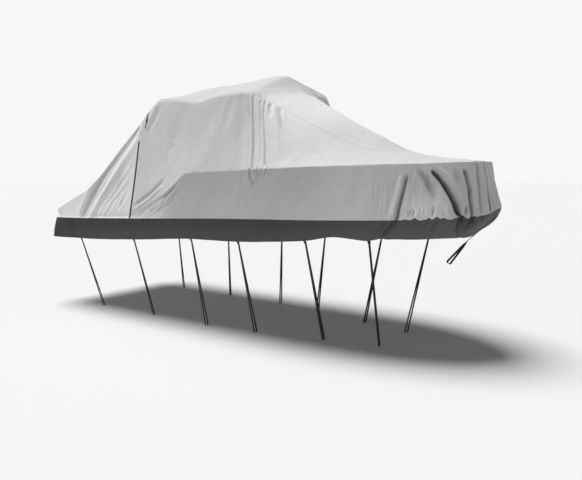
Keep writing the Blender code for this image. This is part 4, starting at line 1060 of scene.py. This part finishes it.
def add_cloth(cloth, nose, nose_crease_shade):
    levels, grid, seam = cloth.levels, cloth.grid, cloth.seam
    normals, nose_normals = grid_normals(grid), grid_normals(nose)
    edge, shoulder, last, end = SKIRT_COLUMNS, len(levels) - 1, grid.shape[1] - 1, len(cloth.values) - 1
    tail, middle, front = len(nose) - 1, len(nose) // 2, end - seam
    nose_normals[0], nose_normals[tail] = normals[seam, :shoulder + 1], normals[seam, ::-1][:shoulder + 1]
    nose_normals[:front + 1, shoulder] = normals[seam:, shoulder]
    nose_normals[tail - front:, shoulder] = normals[seam:, last - shoulder][::-1]
    nose_normals[front:tail - front + 1, shoulder] = normals[end, shoulder:last - shoulder + 1] = unit(NOSE_TOP_NORMAL)
    normals[0, edge:last - edge + 1] = AFT_NORMAL
    for step, side in ((1, STARBOARD), (-1, PORT)):
        normals[0, ::step][:edge] = unit(STERN_SKIRT_NORMAL * (1, side, 1))
        normals[0, ::step][edge] = unit(STERN_CORNER_NORMAL * (1, side, 1))
    cover, bow = (grid, normals, cloth.crease_shade), (nose, nose_normals, nose_crease_shade)
    whole, sides = slice(None), slice(seam + 1)
    piece("cloth_top", cover, (whole, slice(shoulder, last - shoulder + 1)), np.full(last - 2 * shoulder + 1, 3.0),
          TOP_CANVAS)
    piece("cloth_side_starboard", cover, (sides, slice(edge, shoulder + 1)), levels[edge:])
    piece("cloth_side_port", cover, (sides, slice(last - shoulder, last - edge + 1)), levels[:edge - 1:-1])
    piece("cloth_nose", bow, (whole, slice(edge, None)), levels[edge:])
    nose_normals[middle, :edge], nose_normals[middle, edge] = unit(STEM_NORMAL), unit(STEM_TOP_NORMAL)
    for word, step, half, high in (("starboard", 1, slice(middle + 1), "high"),
                                   ("port", -1, slice(None, middle - 1, -1), "low")):
        layers = [np.concatenate((side[:seam, ::step][:, :edge + 1], round_bow[half, :edge + 1]))[:, ::step]
                  for side, round_bow in zip(cover, bow)]
        piece("cloth_skirt_" + word, layers, whole, levels[:edge + 1][::step], SKIRT_PAINTED_SHADE, ("aft", "fore", high))

    # the skirt across the stern, from port to starboard
    upper, upper_normals = grid[0, edge:last - edge + 1][::-1], normals[0, edge:last - edge + 1][::-1]
    share = (upper[0, 1] - upper[:, 1]) / (upper[0, 1] - upper[-1, 1])
    wave = (0.006 * np.sin(np.pi * share * 3) + 0.004 * np.sin(23 * share + 1.0) + 0.003 * np.sin(41 * share)) * np.sin(
        np.pi * share)
    rows = mix(grid[0, ::-1][None, :edge + 1], grid[0, :edge + 1][None], share[:, None, None])
    rows[..., 0] -= wave[:, None] * (edge - np.arange(edge + 1)) / edge
    rows[:, edge] = upper
    row_normals = np.tile(np.array((-1.0, 0.0, 0.0)), rows.shape[:2] + (1,))
    row_normals[:, edge] = upper_normals
    row_normals[0], row_normals[-1] = normals[0, ::-1][:edge + 1], normals[0, :edge + 1]
    piece("cloth_skirt_stern", (rows, row_normals, np.zeros(rows.shape[:2])), whole, levels[:edge + 1], SKIRT_PAINTED_SHADE,
          ("aft", "fore", "high"))


# Light and floor

def add_studio():
    scene = bpy.context.scene
    scene.view_settings.view_transform = "Standard"
    g = Graph(bpy.data.worlds.new("studio"), "Background")
    direction = g.node("ShaderNodeTexCoord").outputs["Generated"]
    ramp = g.node("ShaderNodeValToRGB", {0: g.node("ShaderNodeSeparateXYZ", {0: direction}).outputs[2]})
    for element, (position, value) in zip(ramp.color_ramp.elements, SKY):
        element.position, element.color = position, grey(value)
    scene.world = g.finish(Color=ramp.outputs[0], Strength=1.0)
    for name, toward, energy, angle in LIGHTS:
        data = bpy.data.lights.new(name, "SUN")
        data.energy = energy
        data.angle = math.radians(angle)
        add_object(name, data).rotation_euler = Vector(toward).to_track_quat("Z", "Y").to_euler()

    size, level = FLOOR_REACH, CAD_BOX[0][2] - FLOOR_GAP
    mesh = bpy.data.meshes.new("floor")
    mesh.from_pydata([(x, y, level) for x, y in ((-size, -size), (size, -size), (size, size), (-size, size))], [],
                     [(0, 1, 2, 3)])
    paper = Graph(bpy.data.materials.new("floor_paper")).finish(Base_Color=grey(0.52), Roughness=0.95)
    link(mesh, "floor", paper)


def main():
    add_camera()
    cloth = build_cloth()
    nose, nose_crease_shade = build_nose(cloth)
    add_straps(cloth, nose)
    add_zips(cloth)
    add_cloth(cloth, nose, nose_crease_shade)
    add_studio()


main()
